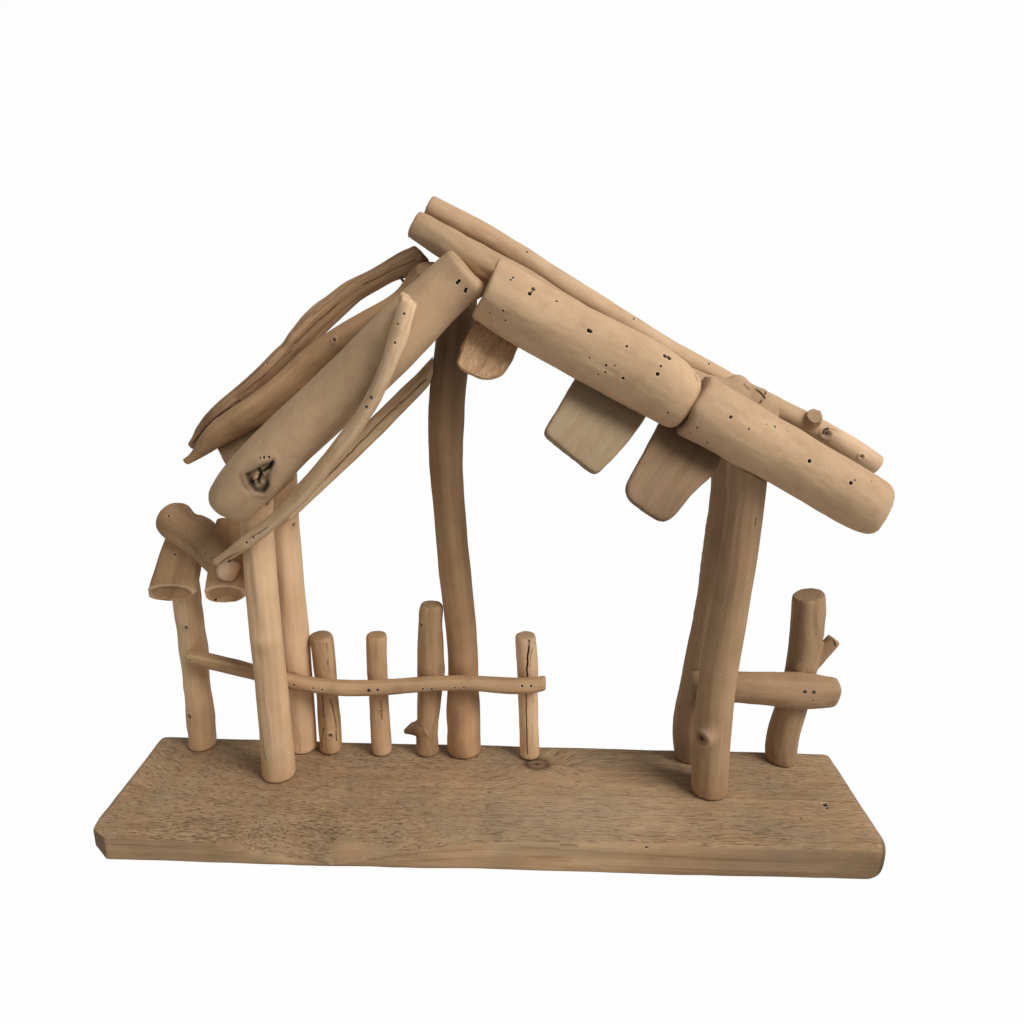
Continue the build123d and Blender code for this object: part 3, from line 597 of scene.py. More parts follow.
# %% Grain group
streak_spread = 3.5
fibre_range = (0.3, 0.7)
streak_range = (0.38, 0.66)
grain_group, into, out = new_group(
    "driftwood_grain",
    [("Grain", PLACES, None), ("Fibre Length", FLOAT, 0.03), ("Fibre Width", FLOAT, 0.0012)],
    ["Fibres", "Streaks", "Height"],
)
fine = stretched(grain_group, into["Grain"], into["Fibre Length"], into["Fibre Width"])
fibre_noise = noise_node(grain_group, fine, 1.0, detail=4.0, roughness=0.6)
streak_noise = noise_node(grain_group, fine, 1 / streak_spread, roughness=0.5, distortion=0.4)
link_nodes(
    grain_group,
    (eased(grain_group, fibre_noise, *fibre_range), out["Fibres"]),
    (eased(grain_group, streak_noise, *streak_range), out["Streaks"]),
    (sum_node(grain_group, "ADD", fibre_noise, streak_noise), out["Height"]),
)
print("group:", grain_group.name, len(grain_group.nodes), "nodes")

# %% [markdown]
# ## Weather patches
# Sun bleaches one side of a stick, and damp leaves it pinkish or grey in blotches of a finger's width.
# Large soft noise gives the blotches, and small sparse noise gives the specks of dirt.

# %% Weather group
blotch_shift = (0.31, 0.17, 0.23)
patch_range = (0.38, 0.66)
blotch_range = (0.46, 0.68)
speck_range = (0.64, 0.76)
weather_group, into, out = new_group(
    "weather_patches",
    [("Grain", PLACES, None), ("Patch Size", FLOAT, 0.022), ("Speck Size", FLOAT, 0.0011)],
    ["Patches", "Blotches", "Specks"],
)
one_over_patch = sum_node(weather_group, "DIVIDE", 1.0, into["Patch Size"])
one_over_speck = sum_node(weather_group, "DIVIDE", 1.0, into["Speck Size"])
moved = vector_sum(weather_group, "ADD", into["Grain"], blotch_shift)
patch_noise = noise_node(weather_group, into["Grain"], one_over_patch)
blotch_noise = noise_node(weather_group, moved, one_over_patch, detail=4.0, roughness=0.6)
speck_noise = noise_node(weather_group, into["Grain"], one_over_speck, detail=2.0)
link_nodes(
    weather_group,
    (eased(weather_group, patch_noise, *patch_range), out["Patches"]),
    (eased(weather_group, blotch_noise, *blotch_range), out["Blotches"]),
    (eased(weather_group, speck_noise, *speck_range), out["Specks"]),
)
print("group:", weather_group.name, len(weather_group.nodes), "nodes")

# %% [markdown]
# ## Torn fibres
# A rough saw tears short bundles of fibres out of a board, and the gaps are painted dark, as the shade in them.
# Noise that is stretched only a little along the grain, and cut off high, leaves just such short dashes.

# %% Torn fibre group
fewest_tears = 0.68
more_tears = -0.2
tear_edge = 0.11
tear_group, into, out = new_group(
    "torn_fibres",
    [
        ("Grain", PLACES, None), ("Tear Length", FLOAT, 0.005), ("Tear Width", FLOAT, 0.0008),
        ("Amount", FLOAT, 0.5),
    ],
    ["Tears", "Height"],
)
dash_places = stretched(tear_group, into["Grain"], into["Tear Length"], into["Tear Width"])
dashes = noise_node(tear_group, dash_places, 1.0, detail=2.5, distortion=0.2)
least = sum_node(tear_group, "MULTIPLY_ADD", into["Amount"], more_tears, fewest_tears)
torn = eased(tear_group, sum_node(tear_group, "SUBTRACT", dashes, least), 0.0, tear_edge)
link_nodes(tear_group, (torn, out["Tears"]), (sum_node(tear_group, "MULTIPLY", torn, -1.0), out["Height"]))
print("group:", tear_group.name, len(tear_group.nodes), "nodes")

# %% [markdown]
# ## Sawn ends
# Where a stick was cut, its year rings show round the heart, with fine drying cracks that run outwards.
# The distance from the heart line is already in the straightened places,
# so rings are a wave of that distance.

# %% End group
wobbles_per_metre = 260.0
checks_per_turn = 5.0
ring_range = (-0.8, 1.0)
check_range = (0.6, 0.72)
end_group, into, out = new_group(
    "sawn_end", [("Grain", PLACES, None), ("Ring Width", FLOAT, 0.0012)], ["Rings", "Checks"]
)
apart = place_node(end_group, "ShaderNodeSeparateXYZ", {0: into["Grain"]}).outputs
flat = place_node(end_group, "ShaderNodeCombineXYZ", {0: apart[1], 1: apart[2]}).outputs[0]
away = place_node(end_group, "ShaderNodeVectorMath", {0: flat}, operation="LENGTH").outputs["Value"]
wobble = noise_node(end_group, flat, wobbles_per_metre, detail=2.0)
turns = sum_node(end_group, "ADD", sum_node(end_group, "DIVIDE", away, into["Ring Width"]), wobble)
ring_wave = sum_node(end_group, "SINE", sum_node(end_group, "MULTIPLY", turns, math.tau))
angle = sum_node(end_group, "ARCTAN2", apart[1], apart[2])
spokes = place_node(end_group, "ShaderNodeCombineXYZ", {0: angle, 1: away}).outputs[0]
check_noise = noise_node(end_group, spokes, checks_per_turn)
link_nodes(
    end_group,
    (eased(end_group, ring_wave, *ring_range), out["Rings"]),
    (eased(end_group, check_noise, *check_range), out["Checks"]),
)
print("group:", end_group.name, len(end_group.nodes), "nodes")

# %% [markdown]
# ## Driftwood materials
# A wood finish is a pale and a deep tone of one stick, mixed by the grain, with blotches of a third tone.
# Holes and cracks are painted nearly black, as the shade inside them, with paler rims where fresh wood shows,
# and sawn ends get faint rings.
# A value on the points of the net makes each stick, or a part of it, lighter or darker than its finish.
# All of that feeds the base colour, one layer over the other, and the same masks make the wood rougher
# and give a fine bump.

# %% Driftwood material
# Holes, clefts and deep cracks are painted this near black: painted shade inside them.
hole_shade_black = (0.016, 0.010, 0.007, 1.0)
rim_cream = (0.62, 0.46, 0.31, 1.0)
knot_and_shade_umber = (0.085, 0.042, 0.022, 1.0)
wood_shine = 0.2
relief_height = 0.35 * MM
fuzz_highlight_shift = (0.013, 0.41, 0.29)
fine_fibre_share = 0.4
patch_share = 0.3
speck_share = 0.3
dirt_and_shade_share = 0.55
tear_share = 0.75
end_share = 0.8
end_check_share = 0.6
end_cover_share = 0.85
rim_share = 0.6
ring_relief_share = 0.3
dull_range = (0.66, 0.84)


def tinted(colour, share=1.0):
    """A colour made darker or lighter, with its alpha."""
    return (*(share * channel for channel in colour), 1.0)


def named_value(tree, name):
    """Reads a value that was written on the net's points."""
    return place_node(tree, "ShaderNodeAttribute", attribute_name=name).outputs["Fac"]


def effect(tree, group, places, values):
    """The outputs of a shared effect, with its own values in this material."""
    return place_node(tree, "ShaderNodeGroup", {"Grain": places, **values}, node_tree=group).outputs


def driftwood(name, pale, deep, blotch, grain=0.5, blotches=0.45, fibre=(0.04, 0.0013), bump=0.3, tears=0.0,
              tear=(0.006, 0.0008), fuzz_highlight=0.0, patch=0.022):
    """A wood material: two tones mixed by the grain, with blotches, torn fibres, marks and sawn ends."""
    material = bpy.data.materials.new(name)
    material.use_nodes = True
    tree = material.node_tree
    shader = tree.nodes["Principled BSDF"].inputs
    shader["Specular IOR Level"].default_value = wood_shine

    def times(value, share):
        return sum_node(tree, "MULTIPLY", value, share)

    places = place_node(tree, "ShaderNodeAttribute", attribute_name="grain").outputs["Vector"]
    amount = times(named_value(tree, "rough"), tears)
    tear_values = {"Tear Length": tear[0], "Tear Width": tear[1], "Amount": amount}
    lines = effect(tree, grain_group, places, {"Fibre Length": fibre[0], "Fibre Width": fibre[1]})
    weather = effect(tree, weather_group, places, {"Patch Size": patch})
    torn = effect(tree, tear_group, places, tear_values)
    # A shifted copy of the tears is painted pale: painted highlights on raised fibres.
    raised_highlight = effect(tree, tear_group, vector_sum(tree, "ADD", places, fuzz_highlight_shift), tear_values)
    ends = effect(tree, end_group, places, {})
    cut = named_value(tree, "cut")
    pit = named_value(tree, "pit")

    share = times(lines["Streaks"], grain)
    share = sum_node(tree, "MULTIPLY_ADD", lines["Fibres"], fine_fibre_share * grain, share)
    share = sum_node(tree, "MULTIPLY_ADD", weather["Patches"], patch_share, share)
    tone = colour_mix(tree, sum_node(tree, "MINIMUM", share, 1.0), tinted(pale), tinted(deep))
    end_tone = colour_mix(tree, ends["Rings"], tinted(pale, end_share), tinted(deep, end_share))
    end_tone = colour_mix(tree, ends["Checks"], end_tone, tinted(deep, end_check_share * end_share))
    layers = [
        (times(weather["Blotches"], blotches), tinted(blotch)),
        (times(weather["Specks"], speck_share), tinted(deep, dirt_and_shade_share)),
        # Specks are dirt; the dark torn gaps are painted shade.
        (times(torn["Tears"], sum_node(tree, "MINIMUM", amount, tear_share)), tinted(deep, dirt_and_shade_share)),
        # Pale raised fibres: painted highlights.
        (times(raised_highlight["Tears"], fuzz_highlight), rim_cream),
        (times(cut, end_cover_share), end_tone),
        # The umber layer is knot wood, and painted shade inside cracks and on slanting cut faces.
        (named_value(tree, "knot"), knot_and_shade_umber),
        (times(named_value(tree, "rim"), rim_share), rim_cream),
    ]
    for cover, colour in layers:
        tone = colour_mix(tree, cover, tone, colour)
    lighter = sum_node(tree, "ADD", named_value(tree, "tone"), 1.0)
    tone = place_node(tree, "ShaderNodeVectorMath", {0: tone, "Scale": lighter}, operation="SCALE").outputs[0]

    dull = eased(tree, lines["Fibres"], 0.0, 1.0, *dull_range)
    height = sum_node(tree, "ADD", lines["Height"], times(ends["Rings"], times(cut, ring_relief_share)))
    height = sum_node(tree, "MULTIPLY_ADD", torn["Height"], amount, height)
    relief_values = {"Strength": bump, "Distance": relief_height, "Height": height}
    relief = place_node(tree, "ShaderNodeBump", relief_values)
    link_nodes(
        tree,
        # The pit mask paints holes and cracks black: painted shade.
        (colour_mix(tree, pit, tone, hole_shade_black), shader["Base Color"]),
        (sum_node(tree, "MAXIMUM", dull, pit), shader["Roughness"]),
        (relief.outputs[0], shader["Normal"]),
    )
    return material


# %% [markdown]
# ## The tones
# The sticks are one kind of bleached beach wood, but each has its own tone, from sand to brown.
# A few tones are named here, in linear light,
# and each finish then takes a pale, a deep and a blotch tone from them.
# The lengths and widths of fibres and tears are in metres.

# %% Tones
cream = (0.610, 0.440, 0.272)
sand = (0.520, 0.350, 0.204)
wheat = (0.430, 0.275, 0.152)
honey = (0.350, 0.212, 0.109)
clay = (0.260, 0.150, 0.074)
bark = (0.165, 0.088, 0.043)
ash = (0.300, 0.225, 0.138)
rose = (0.430, 0.255, 0.154)

# %% Finishes
finishes = {
    "post_wood": driftwood("post_driftwood", sand, honey, wheat, grain=0.45, fibre=(0.06, 0.0022)),
    "rosy_post_wood": driftwood("rosy_post_driftwood", wheat, clay, rose, grain=0.35, fibre=(0.05, 0.002)),
    "brown_wood": driftwood("brown_driftwood", honey, bark, clay, grain=0.33, fibre=(0.05, 0.0022)),
    "grooved_wood": driftwood(
        "grooved_driftwood", wheat, bark, clay, grain=0.62, blotches=0.3, fibre=(0.09, 0.0017), bump=0.6
    ),
    "pale_wood": driftwood(
        "pale_driftwood", sand, wheat, rose, grain=0.16, blotches=0.5, fibre=(0.014, 0.0035), bump=0.2,
        patch=0.009,
    ),
    "slat_wood": driftwood(
        "brown_slat_driftwood", wheat, clay, rose, grain=0.3, blotches=0.35, fibre=(0.03, 0.0016), bump=0.25
    ),
    "grey_slat_wood": driftwood(
        "grey_slat_driftwood", ash, clay, ash, grain=0.35, blotches=0.3, fibre=(0.014, 0.0008), bump=0.35
    ),
    "torn_slat_wood": driftwood(
        "torn_slat_driftwood", wheat, clay, honey, blotches=0.4, fibre=(0.012, 0.0014), bump=0.8,
        tears=0.5, tear=(0.0035, 0.0011), fuzz_highlight=0.35,
    ),
    "fence_wood": driftwood("fence_driftwood", wheat, clay, honey, fibre=(0.04, 0.0014)),
    "brace_wood": driftwood("brace_driftwood", cream, honey, wheat, fibre=(0.04, 0.001)),
    "plank_wood": driftwood(
        "plank_sawn_wood", wheat, clay, ash, grain=0.34, blotches=0.5, fibre=(0.05, 0.0011), bump=0.8,
        tears=0.72, tear=(0.0042, 0.0006), fuzz_highlight=0.35,
    ),
}
print("finishes:", sorted(finishes))

# %% [markdown]
# ## Marks on a stick
# Nails, worms and drying leave holes and cracks, and each mark has a function of its own here.
# Around a hole or a crack the net is made finer first, so that a hole of a millimetre is still round.
# The far side gets a few worm holes and a drying crack of its own, placed by the stick's seed,
# because a stick that is marked on one side only looks painted.

# %% Nail holes and the far side
brad_hole = 0.62 * MM
brad_cover = 0.85 * MM
straight_in = 0.6
across_grain = 0.4
far_seed = 300
far_hole_radii = (0.35, 0.75)
far_crack_lengths = (12, 26)
far_crack_points = 5
far_crack_width = 0.35 * MM
far_crack_depth = 0.6 * MM


def nail_heads(tree):
    """Where nails were driven into the piece: their heads lie just under its skin."""
    found = []
    for start, end, _ in wires:
        axis = Vector((end - start) / np.linalg.norm(end - start))
        for tip in (Vector(start), Vector(end)):
            place, normal, _, away = tree.find_nearest(tip)
            outside = (tip - place).dot(normal) > 0
            if away < brad_cover and not outside and abs(normal.dot(axis)) > straight_in:
                found.append((np.array(place), brad_hole))
    return found


def far_marks(piece, tree, seed, count):
    """Worm holes and a crack on the side that the camera can't see."""
    points, normals = points_of(piece), normals_of(piece)
    fibre = straightened(points)[1]
    across = np.abs((fibre * normals).sum(1)) < across_grain
    hidden = np.flatnonzero(across & (to_camera(points, normals) < 0))
    draw = np.random.default_rng(seed + far_seed)
    places = [points[index] for index in draw.choice(hidden, count)]
    holes = [(place, draw.uniform(*far_hole_radii) * MM) for place in places]
    start = draw.choice(hidden)
    steps = np.linspace(0, draw.uniform(*far_crack_lengths) * MM, far_crack_points)
    line = [np.array(tree.find_nearest(Vector(points[start] + fibre[start] * step))[0]) for step in steps]
    return holes, [(line, far_crack_width, far_crack_depth)]


def holes_and_cracks(piece, tree, seed, net, holes, cracks, hidden):
    """Every hole and crack of a stick: those in the picture, the nails' and those of the far side."""
    far_holes, far_cracks = far_marks(piece, tree, seed, hidden)
    hole_spots = [(place, radius * MM) for place, radius in spots(piece, tree, holes)]
    lines = [(on_wood(piece, tree, line), width * MM, depth * MM) for line, width, depth in cracks]
    crack_lines = [(path_points(line, net, seed), width, depth) for line, width, depth in lines + far_cracks]
    return hole_spots + nail_heads(tree) + far_holes, crack_lines


# %% Holes, cracks and knots
hole_surround = 2.2
hole_depth = 1.3 * MM
hole_wall = (0.7, 1.05)
hole_rim_in = (0.9, 1.2)
hole_rim_out = (1.3, 1.9)
hole_rim_share = 0.7
crack_surround = 2
crack_shadow = 4
crack_wall = (0.25, 1.0)
crack_stain = (0.8, 3.0)
brown_crack = 0.2 * MM
black_crack = 1.1 * MM
knot_swell = 0.5 * MM
knot_dip = 0.9 * MM
knot_ring_run = 2 * MM


def finer_near(piece, net, hole_spots, crack_lines):
    """Makes the net finer round each hole and crack."""
    points = points_of(piece)
    near = np.zeros(len(points), bool)
    for place, radius in hole_spots:
        near |= distances(points, place) < hole_surround * radius + net
    for line, width, _ in crack_lines:
        reach = crack_surround * width + net
        near |= distance_to(points, line, reach) < reach
    make_finer(piece, near)


def press_hole(wood, points, place, radius):
    """A worm hole or nail hole: a pit painted black as its shade, with a pale rim of fresh wood."""
    away = distances(points, place) / radius
    inside = 1 - ease(*hole_wall, away)
    rim = ease(*hole_rim_in, away) * (1 - ease(*hole_rim_out, away))
    wood.lift -= hole_depth * inside
    wood.pit = np.maximum(wood.pit, inside)
    wood.rim = np.maximum(wood.rim, hole_rim_share * rim)


def press_crack(wood, points, line, width, depth):
    """A drying crack, painted brown if it is shallow and black if it is deep, as the shade in it, in a faint
    stain.
    """
    away = distance_to(points, line, crack_shadow * width) / width
    inside = 1 - ease(*crack_wall, away)
    black = ease(brown_crack, black_crack, depth)
    wood.lift -= depth * inside
    wood.pit = np.maximum(wood.pit, inside * black)
    wood.dark = np.maximum(wood.dark, 0.3 * (1 + black) * inside + 0.2 * (1 - ease(*crack_stain, away)))


def press_knot(wood, points, place, radius, seed):
    """The knot of a lost branch: a swollen ring round a dark hollow, its middle painted black as shade, with
    wavy year rings.
    """
    away = distances(points, place) / radius
    year_rings = 0.5 + 0.5 * np.sin(9 * away + 2 * soft_noise(points / knot_ring_run, seed + 11))
    wood.lift += knot_swell * hump(away - 1.1, 0.4) - knot_dip * hump(away, 0.55)
    wood.dark = np.maximum(wood.dark, hump(away, 0.95) * (0.5 + 0.4 * year_rings))
    wood.pit = np.maximum(wood.pit, 0.85 * hump(away, 0.4))
    wood.rim = np.maximum(wood.rim, 0.35 * hump(away - 1.25, 0.3))


print("a worm hole is pressed in by", hole_depth / MM, "mm")

# %% [markdown]
# ## Dressing a stick
# Every stick goes through the same steps: an even net, wear, marks, soft dents that follow the grain,
# and the values that the materials read, written on the points of the net.
# Marks are given as points of the picture, so they land where the eye expects them.

# %% Values on the net
slot_of = {part["node"]: part["material_slot"] for part in frame["record"]["subparts"]}


def write_value(piece, name, values, kind="FLOAT"):
    """Writes values or places on the points of the net."""
    field = piece.data.attributes.get(name) or piece.data.attributes.new(name, kind, "POINT")
    key = "vector" if kind == "FLOAT_VECTOR" else "value"
    field.data.foreach_set(key, np.ascontiguousarray(values, dtype=np.float32).ravel())


def read_value(piece, name):
    """Reads values back from the points of the net."""
    values = np.empty(len(piece.data.vertices))
    piece.data.attributes[name].data.foreach_get("value", values)
    return values


def wide_bore(node, x, y, radius):
    """The bore of a wide hole in a solid, from the point of the picture where it opens."""
    solid = frame["nodes"][node]
    place = on_wood(solid, bvh_of(solid), [(x, y)])[0]
    return place - np.array([0.0, radius * MM, 0.0]), place, radius * MM


print("material slots:", sorted(set(slot_of.values())))

# %% Dressing
dent_bias = 0.6
end_dent_share = 0.6
fibre_dent = 0.1 * MM
fibre_dent_size = np.array([9.0, 1.7, 1.7]) * MM
tone_run = 25 * MM
tone_drift = 0.05
end_facing = (0.55, 0.8)
grain_step = 0.37
grain_steps = 17


def fresh_wood(grain, cut, seed, dents, dent_size, tone):
    """The soft dents and the tone of a stick before it gets its marks."""
    size = np.array([dent_size[0], dent_size[1], dent_size[1]]) * MM
    lift = dents * MM * (rough_noise(grain / size, seed) - dent_bias) * (1 - end_dent_share * cut)
    lift += fibre_dent * soft_noise(grain / fibre_dent_size, seed + 7)
    light = tone + tone_drift * soft_noise(grain / tone_run, seed + 21)
    bare = np.zeros(len(grain))
    return SimpleNamespace(lift=lift, light=light, pit=bare, rim=bare, dark=bare)


def dress(node, seed, net=stick_net, wear=(10, 10, 5), dents=0.45, dent_size=(34, 9), finish=None, tone=0.0,
          rings=1.0, holes=(), cracks=(), knots=(), swells=(), tints_and_shading=(), pales=(), pulls=(), hidden=3,
          plug=None, carve=None, added=None, trim=None):
    """Makes a stick's piece from its solid. Marks have sizes in millimetres and places in the picture."""
    piece = skin_of(node, net, [wide_bore(node, *plug)] if plug else [], added)
    wear_ends(piece, *wear)
    if pulls:
        pull(piece, pulls)
    if trim:
        trim(piece)
    tree = bvh_of(piece)
    hole_spots, crack_lines = holes_and_cracks(piece, tree, seed, net, holes, cracks, hidden)
    knot_spots = spots(piece, tree, knots)
    finer_near(piece, net, hole_spots, crack_lines)

    points, normals = points_of(piece), normals_of(piece)
    grain, fibre = straightened(points)
    cut = ease(*end_facing, np.abs((fibre * normals).sum(1)))
    wood = fresh_wood(grain, cut, seed, dents, dent_size, tone)
    for place, radius, height in spots(piece, tree, swells):
        wood.lift += height * MM * hump(distances(points, place), radius * MM)
    # A tint changes the tone in a spot: some tints are stains of the wood, others are painted light and shade.
    for place, radius, change in spots(piece, tree, tints_and_shading):
        wood.light += change * hump(distances(points, place), radius * MM)
    for place, radius, share in spots(piece, tree, pales):
        wood.rim = np.maximum(wood.rim, share * hump(distances(points, place), radius * MM))
    for place, radius in hole_spots:
        press_hole(wood, points, place, radius)
    for line, width, depth in crack_lines:
        press_crack(wood, points, line, width, depth)
    for place, radius in knot_spots:
        press_knot(wood, points, place, radius * MM, seed)
    if carve:
        carve(wood, points, normals, seed)
    put_points(piece, points + normals * wood.lift[:, None])

    shift = np.array([grain_step * (seed % grain_steps), 0.0, 0.0])
    write_value(piece, "grain", grain + shift, "FLOAT_VECTOR")
    write_value(piece, "cut", rings * cut)
    write_value(piece, "pit", wood.pit)
    write_value(piece, "rim", wood.rim)
    write_value(piece, "knot", wood.dark)
    write_value(piece, "tone", wood.light)
    write_value(piece, "rough", np.ones(len(points)))
    slot = slot_of[node]
    piece.data.materials.append(finishes[finish or slot])
    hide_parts(node)
    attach(piece, "root")
    return piece


def dress_all(kind, sticks, **shared):
    """Dresses every stick of a table, with what the sticks share."""
    for node, marks in sticks.items():
        dress(node, **shared, **marks)
    print(kind + ":", len(sticks))


# %% [markdown]
# ## The posts
# Seven posts stand on the plank. Each is a bare branch, cut at the top to the slope of the roof.
# Their dents are long and narrow, like the soft facets that a drawknife leaves.
# The tall post under the ridge is darker towards its top: painted shade from the roof above it.
# In these tables a hole or a knot is a point of the picture and a radius.
# A swell, a tint or a pale patch is a point, a radius and an amount.
# A crack is a line of points, a width and a depth, and a pull is a point, a reach and a step.

# %% Posts
posts = {
    "front_left_post": dict(
        seed=11, dents=0.6, dent_size=(90, 6), tone=0.43,
        swells=[(262, 645, 6, 0.6)],
        # Above the swell the post is painted lighter and below it darker: painted highlight and shade on the
        # swell.
        tints_and_shading=[(262, 640, 4, 0.12), (262, 652, 4, -0.14)],
        cracks=[([(261, 729), (262.5, 745), (264, 760)], 0.35, 0.6)],
    ),
    "rear_left_post": dict(
        seed=12, tone=0.7,
        knots=[(294, 525, 1.7)],
        pales=[(292, 560, 25, 0.35), (298, 640, 25, 0.35), (303, 715, 25, 0.35)],
    ),
    "far_left_post": dict(
        seed=13, dents=0.9, dent_size=(22, 10), tone=0.55,
        knots=[(189, 717, 1.8), (186, 628, 1.4)],
        tints_and_shading=[(183, 630, 8, -0.25), (189, 718, 7, -0.25)],
    ),
    "ridge_post": dict(
        seed=14, finish="brown_wood", tone=0.42,
        pulls=[(443, 730, 16, 4, 0)],
        swells=[(467, 421, 7, 0.9), (477, 303, 6, 1.5)],
        # The top is painted darker, as the roof's shade, and the foot is painted lighter.
        tints_and_shading=[(455, 330, 34, -0.85), (450, 400, 40, -0.22), (464, 740, 45, 0.4)],
        holes=[(456, 470, 0.4), (463, 560, 0.4), (452, 520, 0.35)],
    ),
    "front_right_post": dict(
        seed=15, finish="rosy_post_wood", dents=0.5, dent_size=(80, 7),
        pulls=[(716, 745, 55, 3, 0)],
        knots=[(702, 738, 4.0)],
        swells=[(706, 737, 6, 1.3)],
        tints_and_shading=[(711, 735, 4, 0.35)],
        cracks=[([(757, 519), (756, 526)], 0.4, 0.5)],
        holes=[(728, 676, 0.4), (722, 610, 0.35)],
    ),
    "rear_right_post": dict(
        seed=16, finish="rosy_post_wood", dents=0.7, dent_size=(30, 9), tone=-0.12,
        pulls=[(707, 478, 45, 10, 0)],
        holes=[(696, 644, 0.5)],
    ),
    "far_right_post": dict(
        seed=17, finish="rosy_post_wood", dents=0.6, tone=-0.05, wear=(10, 24, 6),
        tints_and_shading=[(808, 586, 7, -0.6)],
        cracks=[([(832, 638), (834, 642), (835, 646)], 0.5, 1.2)],
        holes=[(801, 660, 0.4), (789, 730, 0.4)],
    ),
}
dress_all("posts", posts)

# %% [markdown]
# ## The fence
# Four pickets stand between the posts, and a thin bent stick is nailed across them with pairs of nails.
# The tops of the pickets are worn round, and two of the pickets have dried out and split along their length.

# %% Fence
fence = {
    "fence_picket_1": dict(
        seed=21, wear=(10, 90, 6), tone=0.5,
        knots=[(330, 736, 1.8)],
        # Its left side is painted darker: painted shade.
        tints_and_shading=[(318, 634, 7, -0.45), (313, 660, 6, -0.35), (317, 715, 7, -0.35)],
        cracks=[
            ([(321, 690), (324, 722), (321, 748)], 0.45, 0.9),
            ([(331, 700), (336, 722), (337, 741)], 0.4, 0.8),
            ([(327, 644), (329, 672)], 0.35, 0.7),
        ],
    ),
    "fence_picket_2": dict(
        seed=22, wear=(10, 45, 6), tone=0.6,
        knots=[(381, 711, 0.9)],
        cracks=[([(381, 702), (382, 711), (382, 719)], 0.5, 0.5)],
    ),
    "fence_picket_3": dict(
        seed=23, wear=(10, 110, 6), tone=0.28,
        pulls=[(419, 608, 12, -1, 0), (441, 608, 14, 3, 0), (442, 640, 14, 1, 0), (411, 728, 5, 2, -4)],
        knots=[(421, 625, 1.3)],
        swells=[(446, 667, 6, 0.8)],
        tints_and_shading=[(430, 600, 5, -0.7), (409, 733, 7, -0.8)],
        holes=[(433, 606, 0.5), (427, 604, 0.5)],
    ),
    "fence_picket_4": dict(
        seed=24, finish="post_wood", wear=(10, 40, 6), tone=0.57,
        pales=[(527, 655, 12, 0.4), (527, 720, 16, 0.4)],
        holes=[(535, 643, 0.5), (520, 652, 0.35)],
        cracks=[
            ([(529.5, 641), (527.5, 660), (526.5, 690)], 0.75, 1.6),
            ([(526.5, 690), (525.5, 704), (527, 755)], 0.5, 1.4),
            ([(532, 648), (530, 668)], 0.3, 0.6),
            ([(533, 700), (532, 745)], 0.25, 0.4),
        ],
    ),
    "left_fence_rail": dict(
        seed=25, wear=(20, 14, 6), tone=0.39,
        tints_and_shading=[(225, 667, 5, -0.25), (331, 691, 3, -0.3), (398, 690, 3, -0.2)],
    ),
    "right_fence_rail": dict(
        seed=26, finish="rosy_post_wood", wear=(10, 30, 6), tone=-0.05,
        pulls=[(800, 676, 30, 0, -2), (800, 708, 30, 0, 3), (838, 690, 10, 2, 0)],
    ),
}
dress_all("fence pieces", fence, net=twig_net, dents=0.4, dent_size=(20, 7))

# %% [markdown]
# ## A rotted knot
# The left front log has a rotted knot: a ragged hollow with a painted shadow inside its lower lip and torn pale
# splinters inside.
# Sculpting by hand would be another way, but a few points of the picture hold its outline just as well:
# the depth grows with the distance inside that outline, and lines inside it are the clefts, painted black as
# shade.

# %% Distances in the picture
def run_distance(places, start, end):
    """How far places lie from a straight run."""
    run = end - start
    share = np.clip(((places - start) @ run) / (run @ run), 0, 1)
    return np.linalg.norm(places - start - share[:, None] * run, axis=1)


def line_distance(places, line):
    """How far places lie from a broken line."""
    return np.min([run_distance(places, start, end) for start, end in zip(line[:-1], line[1:])], axis=0)


def outline_distance(places, outline):
    """How far places lie inside a closed outline; outside is negative."""
    inside = np.zeros(len(places), bool)
    for start, end in zip(outline, np.roll(outline, -1, axis=0)):
        passes = (start[1] > places[:, 1]) != (end[1] > places[:, 1])
        rise = (end[1] - start[1]) or 1.0
        inside ^= passes & (places[:, 0] < start[0] + (places[:, 1] - start[1]) * (end[0] - start[0]) / rise)
    nearest = line_distance(places, np.vstack([outline, outline[:1]]))
    return np.where(inside, nearest, -nearest)


# %% Rotted knot
knot_outline = np.array(
    [
        (245, 474), (258, 465), (274, 459), (275, 464), (271, 474),
        (269, 487), (264, 493), (255, 491), (249, 484),
    ],
    dtype=float,
)
knot_clefts = [
    [(246.5, 474), (249, 480), (254, 487)],
    [(258, 470), (261, 477), (258, 484)],
    [(274, 461), (269, 469), (263, 473)],
]
knot_middle = knot_outline.mean(0)
lower_left = (-0.5, 1.0)
cleft_width = 1.5
crescent_place, crescent_width = 1.2, 1.7
lip_place, lip_width = -2, 3
stain_width = 5
hidden_from_camera = -99
knot_lip = 0.7 * MM
hollow_depth = 4.0 * MM
splinter_size = np.array([2.6, 1.6, 1.6]) * MM


